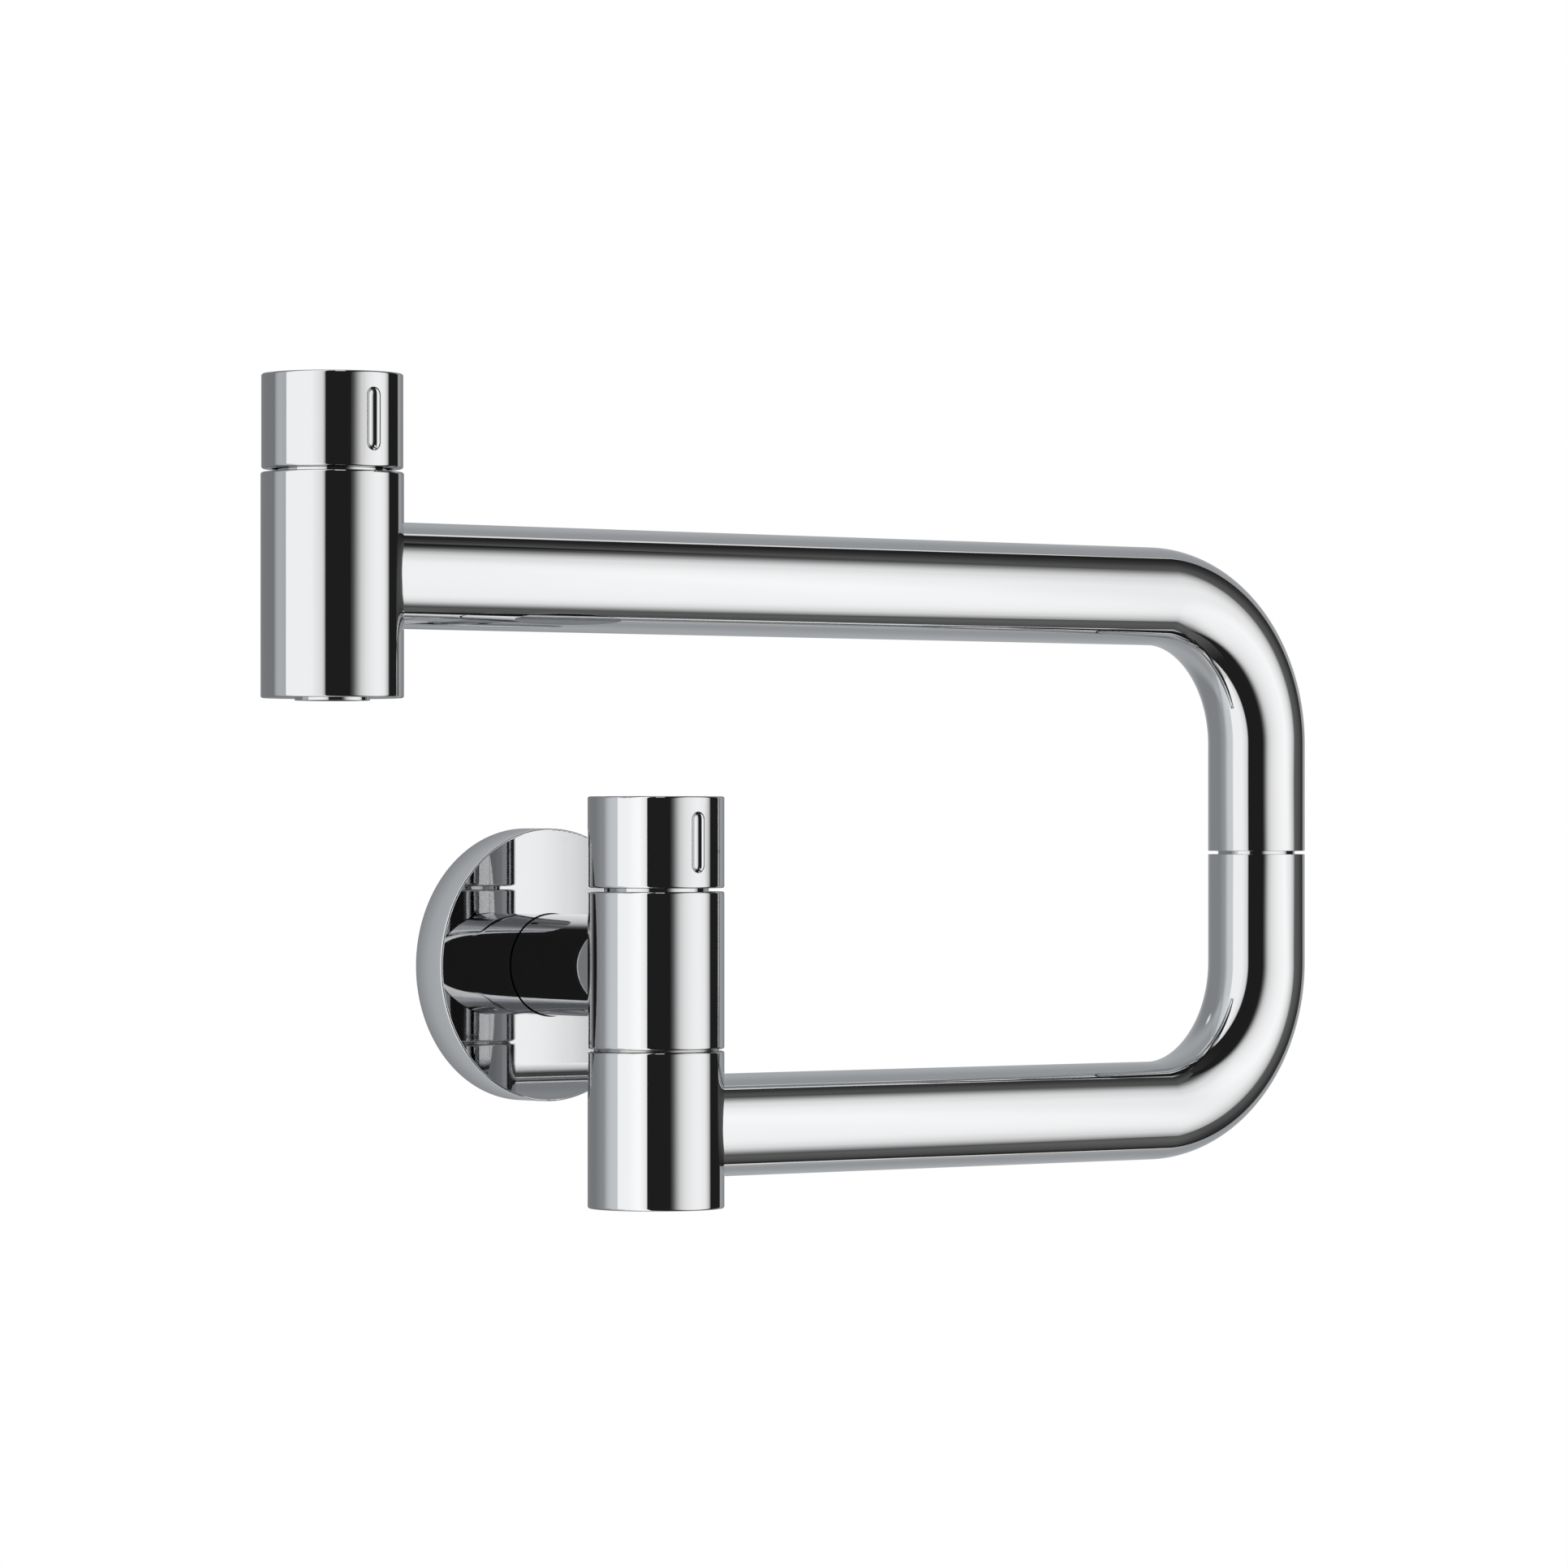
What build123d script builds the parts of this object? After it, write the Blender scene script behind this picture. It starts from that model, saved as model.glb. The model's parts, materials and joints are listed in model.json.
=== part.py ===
from build123d import *
from math import sqrt
import os

# Folding pot filler for a kitchen wall, cold water only, in millimetres.
# The origin is the centre of the rosette's back face, on the wall. +X runs along the wall,
# +Y goes into the wall and +Z is up. The arms are folded over each other, parallel to the wall.

# Wall plate, called the rosette
rosette_diameter = 80.5
rosette_depth = 12.4
rosette_plate = 2.6
rosette_wall = 2.2
rosette_edge = 0.6
rosette_hole_gap = 0.3
rosette_neck_wall = 3.5
rosette_neck_length = 5.0
grip_ring_section = 1.9
gasket_thickness = 1.5
gasket_width = 5.0

# Water inlet, a G 1/2 nipple that screws into the wall fitting
nipple_radius = 10.48
nipple_reach = 18.0
nipple_grip = 14.5
nipple_hexagon = 12.0
runout_radius = 9.3
runout_start = 2.0
runout_end = 0.5
inlet_seal_thickness = 1.5
inlet_seal_bore = 6.6

# Tubes
tube_diameter = 30.0
tube_wall = 1.5
bend_radius = 45.0
stub_bore = 8.0
passage_radius = 6.5

# Columns: drums stacked on the valve axis, and the spout
column_diameter = 39.6
column_edge = 0.6
valve_reach = 62.4
valve_rise = 22.0
valve_height = 45.5
swivel_gap = 0.65
swivel_washer_radius = 18.2
sleeve_height = 45.5
spout_diameter = 40.0
spout_height = 63.0

# Arms
lower_arm_length = 237.3
upper_arm_length = 352.4
lower_arm_rise = 23.4
spout_arm_rise = 34.7
arm_spacing = 157.6
elbow_rise = 79.0
elbow_gap = 1.0

# Ceramic cartridge, the same in the valve and in the spout
cartridge_radius = 9.0
cartridge_thread = 8.0
cavity_depth = 36.0
barrel_radius = 7.8
disc_radius = 6.4
disc_thickness = 3.0
disc_hole_radius = 1.7
disc_hole_ring = 3.6
driver_thickness = 2.0
chamber_height = 15.5
window_height = 6.5
window_width = 8.0
seat_seal_thickness = 1.5
seat_seal_bore = 4.0
outlet_radius = 4.0
flange_thickness = 2.5
guide_radius = 6.0
spindle_radius = 3.5
spindle_flat = 2.6
spindle_top_rise = 20.5
spindle_o_ring_section = 1.1
spindle_o_ring_drop = 1.5

# Bonnet, the ring nut over the cartridge
bonnet_radius = 15.3
bonnet_height = 8.0
bonnet_thread_radius = 13.0
bonnet_thread_depth = 6.0

# Handles
handle_gap = 1.0
handle_height = 26.5
handle_wall = 2.8
handle_crown = 3.0
handle_boss_radius = 7.5
notch_radius = 2.4
notch_depth = 1.55
notch_straight = 13.0
notch_edge = 0.5
screw_radius = 2.0
screw_length = 4.6
screw_hexagon = 2.0
screw_socket_depth = 2.0
screw_access_radius = 1.6

# Wall swivel, under the valve body
swivel_radius = 9.5
swivel_thread = 6.5
swivel_bore = 4.5
swivel_neck_radius = 6.2
swivel_neck_height = 16.0
swivel_port_radius = 2.8
swivel_bush_wall = 1.5
swivel_bush_height = 3.6
swivel_o_ring_offset = 10.2
swivel_chamber_height = 5.0
swivel_chamber_radius = 13.0
swivel_end_gap = 0.8
thrust_washer_thickness = 1.0
retaining_ring_thickness = 1.0
retaining_ring_depth = 1.2
retaining_ring_width = 3.4
cap_radius = 14.6
cap_thickness = 2.5

# Elbow swivel, between the two bent tubes
socket_wall = 1.65
socket_length = 32.0
socket_floor = 4.0
elbow_bore = 8.0
elbow_bush_wall = 0.9
elbow_bush_height = 6.0
elbow_o_ring_upper = 9.5
elbow_o_ring_lower = 18.5
elbow_ring_drop = 14.0
elbow_ring_section = 1.2
elbow_ring_groove = 0.8
foot_wall = 1.35
foot_height = 7.0
foot_flange = 1.0
spigot_grip = 28.0

# Aerator
aerator_radius = 10.5
aerator_wall = 1.6
aerator_lip = 0.7
aerator_height = 9.2
aerator_shelf = 1.3
aerator_insert_height = 6.0
aerator_hole_radius = 0.7
aerator_hole_pitch = 2.2
aerator_rings = 3
aerator_washer_thickness = 2.0
aerator_washer_bore = 6.5

# Fits
fit_clearance = 0.05
running_clearance = 0.05
seam_gap = 0.15
end_gap = 0.1
o_ring_section = 1.78
o_ring_groove_width = 2.3
seat_margin = 0.25

# Radii that follow from the sizes above
rosette_radius = rosette_diameter / 2
tube_radius = tube_diameter / 2
tube_inner = tube_radius - tube_wall
column_radius = column_diameter / 2
spout_radius = spout_diameter / 2
elbow_radius = tube_inner - socket_wall
handle_inner = column_radius - handle_wall

# A tube ends on a flat seat, just inside the round of the column that it enters
column_seat = sqrt(column_radius ** 2 - tube_radius ** 2) - seat_margin
spout_seat = sqrt(spout_radius ** 2 - tube_radius ** 2) - seat_margin

# Heights and places that follow from the sizes above
valve_top = valve_rise
valve_bottom = valve_top - valve_height
sleeve_top = valve_bottom - swivel_gap
sleeve_bottom = sleeve_top - sleeve_height
lower_arm_z = sleeve_bottom + lower_arm_rise
upper_arm_z = lower_arm_z + arm_spacing
lower_tube_end = lower_arm_z + elbow_rise - elbow_gap / 2
upper_tube_end = lower_tube_end + elbow_gap
spout_bottom = upper_arm_z - spout_arm_rise
spout_top = spout_bottom + spout_height
elbow_x = lower_arm_length
spout_x = elbow_x - upper_arm_length

# Planes: upright axes of the columns and the elbow, and the axes of the tubes
wall_plane = Plane(origin=(0, 0, 0), x_dir=(1, 0, 0), z_dir=(0, 1, 0))
valve_axis = Plane(origin=(0, -valve_reach, 0))
elbow_axis = Plane(origin=(elbow_x, -valve_reach, 0))
spout_axis = Plane(origin=(spout_x, -valve_reach, 0))
arm_plane = Plane(origin=(0, -valve_reach, 0), x_dir=(1, 0, 0), z_dir=(0, -1, 0))
lower_arm_plane = Plane(origin=(0, -valve_reach, lower_arm_z), x_dir=(0, 1, 0), z_dir=(1, 0, 0))
upper_arm_plane = Plane(origin=(spout_x, -valve_reach, upper_arm_z), x_dir=(0, 1, 0), z_dir=(1, 0, 0))

os.makedirs("parts", exist_ok=True)


def drum(radius, bottom, top, mode=Mode.ADD):
    """A round drum on the builder's own axis, between two heights."""
    with Locations((0, 0, bottom)):
        Cylinder(radius, top - bottom, align=(Align.CENTER, Align.CENTER, Align.MIN), mode=mode)


def ring(outer, inner, bottom, top):
    """A flat ring on the builder's own axis, between two heights."""
    drum(outer, bottom, top)
    drum(inner, bottom, top, mode=Mode.SUBTRACT)


def groove(outer, floor, bottom, top):
    """A groove turned into the outside of a solid shaft."""
    drum(outer + end_gap, bottom, top, mode=Mode.SUBTRACT)
    drum(floor, bottom, top)


def o_ring(bore, section, height):
    """A round-section ring that seals against a bore."""
    with Locations((0, 0, height)):
        Torus(bore - running_clearance / 2 - section / 2, section / 2)


def o_ring_floor(bore, section):
    """Radius of the groove floor under an o-ring."""
    return bore - section - running_clearance


def rims(part, radius):
    """The round edges of one radius on a part."""
    circles = part.edges().filter_by(GeomType.CIRCLE)
    return circles.filter_by(lambda edge: abs(edge.radius - radius) < fit_clearance / 2)


# Rosette: a shallow cup with a flat front and a neck that holds the grip ring
rosette_hole = tube_radius + rosette_hole_gap
grip_pocket = tube_radius + grip_ring_section + fit_clearance
neck_start = -rosette_depth + rosette_plate
neck_end = neck_start + rosette_neck_length
grip_pocket_start = neck_end - grip_ring_section - end_gap
with BuildPart(wall_plane) as rosette:
    drum(rosette_radius, -rosette_depth, 0)
    fillet(rosette.faces().sort_by(Axis.Y)[0].edges(), rosette_edge)
    drum(rosette_radius - rosette_wall, neck_start, 0, mode=Mode.SUBTRACT)
    drum(rosette_hole + rosette_neck_wall, neck_start, neck_end)
    drum(rosette_hole, -rosette_depth, neck_end, mode=Mode.SUBTRACT)
    drum(grip_pocket, grip_pocket_start, neck_end, mode=Mode.SUBTRACT)
rosette.part.label = "rosette"
export_step(rosette.part, "parts/rosette.step")

# Grip ring between the rosette's neck and the stub
with BuildPart(wall_plane) as rosette_grip_ring:
    with Locations((0, 0, grip_pocket_start + grip_ring_section / 2)):
        Torus(tube_radius + grip_ring_section / 2 + fit_clearance / 2, grip_ring_section / 2)
rosette_grip_ring.part.label = "rosette_grip_ring"
export_step(rosette_grip_ring.part, "parts/rosette_grip_ring.step")

# Gasket inside the rosette's rim, flush with the wall
gasket_radius = rosette_radius - rosette_wall - fit_clearance
with BuildPart(wall_plane) as rosette_gasket:
    ring(gasket_radius, gasket_radius - gasket_width, -gasket_thickness, 0)
rosette_gasket.part.label = "rosette_gasket"
export_step(rosette_gasket.part, "parts/rosette_gasket.step")

# Inlet nipple, with a hexagon right through for the key
nipple_start = -runout_start - nipple_grip
with BuildPart(wall_plane) as inlet_nipple:
    drum(nipple_radius, nipple_start, -runout_start)
    drum(runout_radius, -runout_start, -runout_end)
    drum(nipple_radius, -runout_end, nipple_reach)
    with BuildSketch(wall_plane.offset(nipple_start)):
        RegularPolygon(nipple_hexagon / 2, 6, major_radius=False)
    extrude(amount=nipple_reach - nipple_start, mode=Mode.SUBTRACT)
inlet_nipple.part.label = "inlet_nipple"
export_step(inlet_nipple.part, "parts/inlet_nipple.step")

# Seal at the bottom of the stub's threaded hole
inlet_seal_start = nipple_start - inlet_seal_thickness
with BuildPart(wall_plane) as inlet_seal:
    ring(nipple_radius, inlet_seal_bore, inlet_seal_start, nipple_start)
inlet_seal.part.label = "inlet_seal"
export_step(inlet_seal.part, "parts/inlet_seal.step")

# Stub between the rosette and the valve body
stub_front = -valve_reach + column_seat
with BuildPart(wall_plane) as stub:
    drum(tube_radius, stub_front, -runout_start)
    drum(stub_bore, stub_front, -runout_start, mode=Mode.SUBTRACT)
    drum(nipple_radius + fit_clearance, inlet_seal_start, -runout_start, mode=Mode.SUBTRACT)
stub.part.label = "stub"
export_step(stub.part, "parts/stub.step")


def cartridge_hole(top):
    """The hole for a cartridge and its bonnet, down from the top of a column."""
    drum(cartridge_radius + fit_clearance, top - cavity_depth, top, mode=Mode.SUBTRACT)
    drum(bonnet_thread_radius + fit_clearance, top - bonnet_thread_depth, top, mode=Mode.SUBTRACT)


# Valve body: the middle drum, with the cartridge above and the swivel spigot below
swivel_hole = swivel_radius + fit_clearance
with BuildPart(valve_axis) as valve_body:
    drum(column_radius, valve_bottom, valve_top)
    fillet(rims(valve_body, column_radius), column_edge)
    cartridge_hole(valve_top)
    drum(outlet_radius, valve_bottom, valve_top - cavity_depth, mode=Mode.SUBTRACT)
    drum(swivel_hole, valve_bottom, valve_bottom + swivel_thread, mode=Mode.SUBTRACT)
    with BuildSketch(wall_plane.offset(stub_front)):
        Circle(tube_radius + seam_gap)
    extrude(amount=column_radius, mode=Mode.SUBTRACT)
    with BuildSketch(wall_plane.offset(-valve_reach)):
        Circle(passage_radius)
    extrude(amount=column_radius, mode=Mode.SUBTRACT)
valve_body.part.label = "valve_body"
export_step(valve_body.part, "parts/valve_body.step")

# Spout body, with the cartridge above and the aerator below
aerator_hole_depth = aerator_height - aerator_lip + aerator_washer_thickness
aerator_hole_top = spout_bottom + aerator_hole_depth
with BuildPart(spout_axis) as spout_body:
    drum(spout_radius, spout_bottom, spout_top)
    fillet(rims(spout_body, spout_radius), column_edge)
    cartridge_hole(spout_top)
    drum(outlet_radius, aerator_hole_top, spout_top - cavity_depth, mode=Mode.SUBTRACT)
    drum(aerator_radius + fit_clearance, spout_bottom, aerator_hole_top, mode=Mode.SUBTRACT)
    with BuildSketch(upper_arm_plane.offset(spout_seat)):
        Circle(tube_radius + seam_gap)
    extrude(amount=spout_radius, mode=Mode.SUBTRACT)
    with BuildSketch(upper_arm_plane):
        Circle(passage_radius)
    extrude(amount=spout_radius, mode=Mode.SUBTRACT)
spout_body.part.label = "spout_body"
export_step(spout_body.part, "parts/spout_body.step")

# The valve and the spout carry the same cartridge, bonnet and handle
for station, axis, top in (("valve", valve_axis, valve_top), ("spout", spout_axis, spout_top)):
    seat = top - cavity_depth
    barrel_bottom = seat + seat_seal_thickness
    disc_split = barrel_bottom + disc_thickness
    driver_bottom = disc_split + running_clearance + disc_thickness
    chamber_top = barrel_bottom + chamber_height
    ledge = top - bonnet_thread_depth
    thread_bottom = ledge - cartridge_thread
    flange_top = ledge + flange_thickness
    bonnet_top = top + bonnet_height
    disc_bore = disc_radius + running_clearance
    spindle_bore = spindle_radius + running_clearance
    spindle_top = top + spindle_top_rise
    o_ring_height = top - spindle_o_ring_drop

    # Seat seal under the cartridge
    with BuildPart(axis) as seat_seal:
        ring(barrel_radius, seat_seal_bore, seat, barrel_bottom)
    seat_seal.part.label = f"{station}_seat_seal"
    export_step(seat_seal.part, f"parts/{station}_seat_seal.step")

    # Cartridge housing: barrel with two windows, thread, flange and spindle guide
    with BuildPart(axis) as cartridge_housing:
        drum(barrel_radius, barrel_bottom, thread_bottom)
        drum(cartridge_radius, thread_bottom, ledge)
        drum(bonnet_thread_radius, ledge, flange_top)
        drum(guide_radius, flange_top, bonnet_top)
        drum(disc_bore, barrel_bottom, chamber_top, mode=Mode.SUBTRACT)
        drum(spindle_bore, barrel_bottom, bonnet_top, mode=Mode.SUBTRACT)
        with Locations((0, 0, chamber_top)):
            Box(
                2 * cartridge_radius,
                window_width,
                window_height,
                align=(Align.CENTER, Align.CENTER, Align.MAX),
                mode=Mode.SUBTRACT,
            )
    cartridge_housing.part.label = f"{station}_cartridge_housing"
    export_step(cartridge_housing.part, f"parts/{station}_cartridge_housing.step")

    # Fixed disc, with its two holes along the wall
    with BuildPart(axis) as fixed_disc:
        drum(disc_radius, barrel_bottom, disc_split)
        with BuildSketch(axis.offset(barrel_bottom)):
            with PolarLocations(disc_hole_ring, 2):
                Circle(disc_hole_radius)
        extrude(amount=disc_thickness, mode=Mode.SUBTRACT)
    fixed_disc.part.label = f"{station}_fixed_disc"
    export_step(fixed_disc.part, f"parts/{station}_fixed_disc.step")

    # Moving disc, closed at rest, with its two holes a quarter turn from the fixed ones
    with BuildPart(axis) as moving_disc:
        drum(disc_radius, driver_bottom - disc_thickness, driver_bottom)
        with BuildSketch(axis.offset(driver_bottom - disc_thickness)):
            with PolarLocations(disc_hole_ring, 2, start_angle=90):
                Circle(disc_hole_radius)
        extrude(amount=disc_thickness, mode=Mode.SUBTRACT)
    moving_disc.part.label = f"{station}_moving_disc"
    export_step(moving_disc.part, f"parts/{station}_moving_disc.step")

    # Spindle: driver plate, shaft with an o-ring groove, and two flats for the handle
    with BuildPart(axis) as spindle:
        drum(disc_radius, driver_bottom, driver_bottom + driver_thickness)
        with BuildSketch(axis.offset(driver_bottom)):
            with PolarLocations(disc_hole_ring + disc_hole_radius, 2, start_angle=90):
                Circle(2 * disc_hole_radius)
        extrude(amount=driver_thickness, mode=Mode.SUBTRACT)
        drum(spindle_radius, driver_bottom, bonnet_top)
        with BuildSketch(axis.offset(bonnet_top)):
            Circle(spindle_radius)
            Rectangle(2 * spindle_radius, 2 * spindle_flat, mode=Mode.INTERSECT)
        extrude(amount=spindle_top - bonnet_top)
        groove(
            spindle_radius,
            o_ring_floor(spindle_bore, spindle_o_ring_section),
            o_ring_height - spindle_o_ring_section,
            o_ring_height + spindle_o_ring_section,
        )
    spindle.part.label = f"{station}_spindle"
    export_step(spindle.part, f"parts/{station}_spindle.step")

    # O-ring of the spindle
    with BuildPart(axis) as spindle_o_ring:
        o_ring(spindle_bore, spindle_o_ring_section, o_ring_height)
    spindle_o_ring.part.label = f"{station}_spindle_o_ring"
    export_step(spindle_o_ring.part, f"parts/{station}_spindle_o_ring.step")

    # Bonnet: a ring nut that clamps the cartridge and shows as the neck under the handle
    with BuildPart(axis) as bonnet:
        drum(bonnet_thread_radius, flange_top, top)
        drum(bonnet_radius, top, bonnet_top)
        drum(guide_radius + fit_clearance, flange_top, bonnet_top, mode=Mode.SUBTRACT)
    bonnet.part.label = f"{station}_bonnet"
    export_step(bonnet.part, f"parts/{station}_bonnet.step")

    # Handle: a cup with a boss on the spindle, and an upright notch for the finger in its front,
    # milled with a ball cutter and rounded along its edge
    handle_bottom = top + handle_gap
    handle_top = handle_bottom + handle_height
    handle_middle = (handle_bottom + handle_top) / 2
    boss_bottom = bonnet_top + end_gap
    notch_y = -column_radius + notch_depth - notch_radius
    notch_bottom = handle_middle - notch_straight / 2
    notch_top = handle_middle + notch_straight / 2
    screw_plane = Plane(
        origin=axis.origin + Vector(0, spindle_flat, handle_middle),
        x_dir=(1, 0, 0),
        z_dir=(0, 1, 0),
    )
    with BuildPart() as ball_cutter:
        with Locations((0, notch_y, handle_middle)):
            Cylinder(notch_radius, notch_straight)
        with Locations((0, notch_y, notch_bottom), (0, notch_y, notch_top)):
            Sphere(notch_radius)
    with BuildPart(axis) as handle:
        drum(column_radius, handle_bottom, handle_top)
        fillet(rims(handle, column_radius), column_edge)
        add(ball_cutter.part, mode=Mode.SUBTRACT)
        round_face = handle.faces().sort_by(SortBy.AREA)[-1]
        fillet(round_face.inner_wires()[0].edges(), notch_edge)
        drum(handle_inner, handle_bottom, handle_top - handle_crown, mode=Mode.SUBTRACT)
        drum(handle_boss_radius, boss_bottom, handle_top - handle_crown)
        with BuildSketch(axis.offset(boss_bottom)):
            Circle(spindle_radius + fit_clearance)
            Rectangle(
                2 * (spindle_radius + fit_clearance),
                2 * (spindle_flat + fit_clearance),
                mode=Mode.INTERSECT,
            )
        extrude(amount=spindle_top + end_gap - boss_bottom, mode=Mode.SUBTRACT)
        with BuildSketch(screw_plane):
            Circle(screw_access_radius)
        extrude(amount=column_radius, mode=Mode.SUBTRACT)
        with BuildSketch(screw_plane):
            Circle(screw_radius + fit_clearance)
        extrude(amount=handle_boss_radius, mode=Mode.SUBTRACT)
    handle.part.label = f"{station}_handle"
    export_step(handle.part, f"parts/{station}_handle.step")

    # Handle screw: a hexagon-socket grub screw on the spindle's flat, reached from the handle's back
    with BuildPart(screw_plane) as handle_screw:
        with BuildSketch(screw_plane):
            Circle(screw_radius)
        extrude(amount=screw_length)
        with BuildSketch(screw_plane.offset(screw_length - screw_socket_depth)):
            RegularPolygon(screw_hexagon / 2, 6, major_radius=False)
        extrude(amount=screw_socket_depth, mode=Mode.SUBTRACT)
    handle_screw.part.label = f"{station}_handle_screw"
    export_step(handle_screw.part, f"parts/{station}_handle_screw.step")

# Swivel spigot: screwed up into the valve body, hollow, with ports at the height of the lower arm
swivel_running = swivel_radius + running_clearance
spigot_top = valve_bottom + swivel_thread
cap_top = sleeve_bottom + cap_thickness
spigot_bottom = cap_top + swivel_end_gap
chamber_ceiling = cap_top + swivel_chamber_height
thrust_washer_bottom = chamber_ceiling - running_clearance - thrust_washer_thickness
retaining_ring_bottom = thrust_washer_bottom - retaining_ring_thickness
swivel_neck_top = lower_arm_z + swivel_neck_height / 2
swivel_neck_bottom = lower_arm_z - swivel_neck_height / 2
swivel_o_ring_heights = (lower_arm_z + swivel_o_ring_offset, lower_arm_z - swivel_o_ring_offset)
with BuildPart(valve_axis) as swivel_spigot:
    drum(swivel_radius, spigot_bottom, spigot_top)
    groove(swivel_radius, swivel_neck_radius, swivel_neck_bottom, swivel_neck_top)
    for height in swivel_o_ring_heights:
        groove(
            swivel_radius,
            o_ring_floor(swivel_running, o_ring_section),
            height - o_ring_groove_width / 2,
            height + o_ring_groove_width / 2,
        )
    groove(
        swivel_radius,
        swivel_radius - retaining_ring_depth,
        retaining_ring_bottom,
        thrust_washer_bottom,
    )
    drum(swivel_bore, swivel_neck_bottom, spigot_top, mode=Mode.SUBTRACT)
    with BuildSketch(lower_arm_plane):
        Circle(swivel_port_radius)
    extrude(amount=swivel_radius, both=True, mode=Mode.SUBTRACT)
swivel_spigot.part.label = "swivel_spigot"
export_step(swivel_spigot.part, "parts/swivel_spigot.step")

# O-rings of the swivel, above and below the lower arm
with BuildPart(valve_axis) as swivel_o_rings:
    for height in swivel_o_ring_heights:
        o_ring(swivel_running, o_ring_section, height)
swivel_o_rings.part.label = "swivel_o_rings"
export_step(swivel_o_rings.part, "parts/swivel_o_rings.step")

# Slide washer in the gap under the valve body
with BuildPart(valve_axis) as swivel_washer:
    ring(swivel_washer_radius, swivel_hole, sleeve_top + running_clearance, valve_bottom)
swivel_washer.part.label = "swivel_washer"
export_step(swivel_washer.part, "parts/swivel_washer.step")

# Thrust washer that the sleeve hangs on
thrust_washer_radius = swivel_radius - retaining_ring_depth + retaining_ring_width
with BuildPart(valve_axis) as swivel_thrust_washer:
    ring(
        thrust_washer_radius,
        swivel_hole,
        thrust_washer_bottom,
        thrust_washer_bottom + thrust_washer_thickness,
    )
swivel_thrust_washer.part.label = "swivel_thrust_washer"
export_step(swivel_thrust_washer.part, "parts/swivel_thrust_washer.step")

# Retaining ring in the spigot's lowest groove
with BuildPart(valve_axis) as swivel_retaining_ring:
    ring(
        thrust_washer_radius,
        swivel_radius - retaining_ring_depth + fit_clearance,
        retaining_ring_bottom,
        thrust_washer_bottom,
    )
swivel_retaining_ring.part.label = "swivel_retaining_ring"
export_step(swivel_retaining_ring.part, "parts/swivel_retaining_ring.step")

# Swivel sleeve: the bottom drum, which turns with the lower arm
bush_outer = swivel_running + swivel_bush_wall
bush_hole = bush_outer + fit_clearance
upper_bush_bottom = sleeve_top - swivel_bush_height
lower_bush_top = chamber_ceiling + swivel_bush_height
with BuildPart(valve_axis) as swivel_sleeve:
    drum(column_radius, sleeve_bottom, sleeve_top)
    fillet(rims(swivel_sleeve, column_radius), column_edge)
    drum(swivel_running, sleeve_bottom, sleeve_top, mode=Mode.SUBTRACT)
    drum(bush_hole, upper_bush_bottom, sleeve_top, mode=Mode.SUBTRACT)
    drum(bush_hole, sleeve_bottom, lower_bush_top, mode=Mode.SUBTRACT)
    drum(swivel_chamber_radius, sleeve_bottom, chamber_ceiling, mode=Mode.SUBTRACT)
    drum(cap_radius + fit_clearance, sleeve_bottom, cap_top, mode=Mode.SUBTRACT)
    with BuildSketch(lower_arm_plane.offset(column_seat)):
        Circle(tube_radius + seam_gap)
    extrude(amount=column_radius, mode=Mode.SUBTRACT)
    with BuildSketch(lower_arm_plane):
        Circle(passage_radius)
    extrude(amount=column_radius, mode=Mode.SUBTRACT)
swivel_sleeve.part.label = "swivel_sleeve"
export_step(swivel_sleeve.part, "parts/swivel_sleeve.step")

# Slide bushes at both ends of the sleeve's bore
with BuildPart(valve_axis) as swivel_bushes:
    ring(bush_outer, swivel_running, upper_bush_bottom, sleeve_top)
    with BuildSketch(valve_axis.offset(chamber_ceiling)):
        Circle(bush_outer)
        Circle(swivel_running, mode=Mode.SUBTRACT)
    extrude(amount=swivel_bush_height)
swivel_bushes.part.label = "swivel_bushes"
export_step(swivel_bushes.part, "parts/swivel_bushes.step")

# Cap that closes the bottom drum
with BuildPart(valve_axis) as swivel_cap:
    drum(cap_radius, sleeve_bottom, cap_top)
swivel_cap.part.label = "swivel_cap"
export_step(swivel_cap.part, "parts/swivel_cap.step")

# Lower arm tube: along the wall, then bent up to the elbow
with BuildPart() as lower_arm_tube:
    with BuildLine(arm_plane):
        FilletPolyline(
            (column_seat, lower_arm_z),
            (elbow_x, lower_arm_z),
            (elbow_x, lower_tube_end),
            radius=bend_radius,
        )
    with BuildSketch(lower_arm_plane.offset(column_seat)):
        Circle(tube_radius)
        Circle(tube_inner, mode=Mode.SUBTRACT)
    sweep()
lower_arm_tube.part.label = "lower_arm_tube"
export_step(lower_arm_tube.part, "parts/lower_arm_tube.step")

# Upper arm tube: from the spout along the wall, then bent down to the elbow
with BuildPart() as upper_arm_tube:
    with BuildLine(arm_plane):
        FilletPolyline(
            (spout_x + spout_seat, upper_arm_z),
            (elbow_x, upper_arm_z),
            (elbow_x, upper_tube_end),
            radius=bend_radius,
        )
    with BuildSketch(upper_arm_plane.offset(spout_seat)):
        Circle(tube_radius)
        Circle(tube_inner, mode=Mode.SUBTRACT)
    sweep()
upper_arm_tube.part.label = "upper_arm_tube"
export_step(upper_arm_tube.part, "parts/upper_arm_tube.step")

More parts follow.
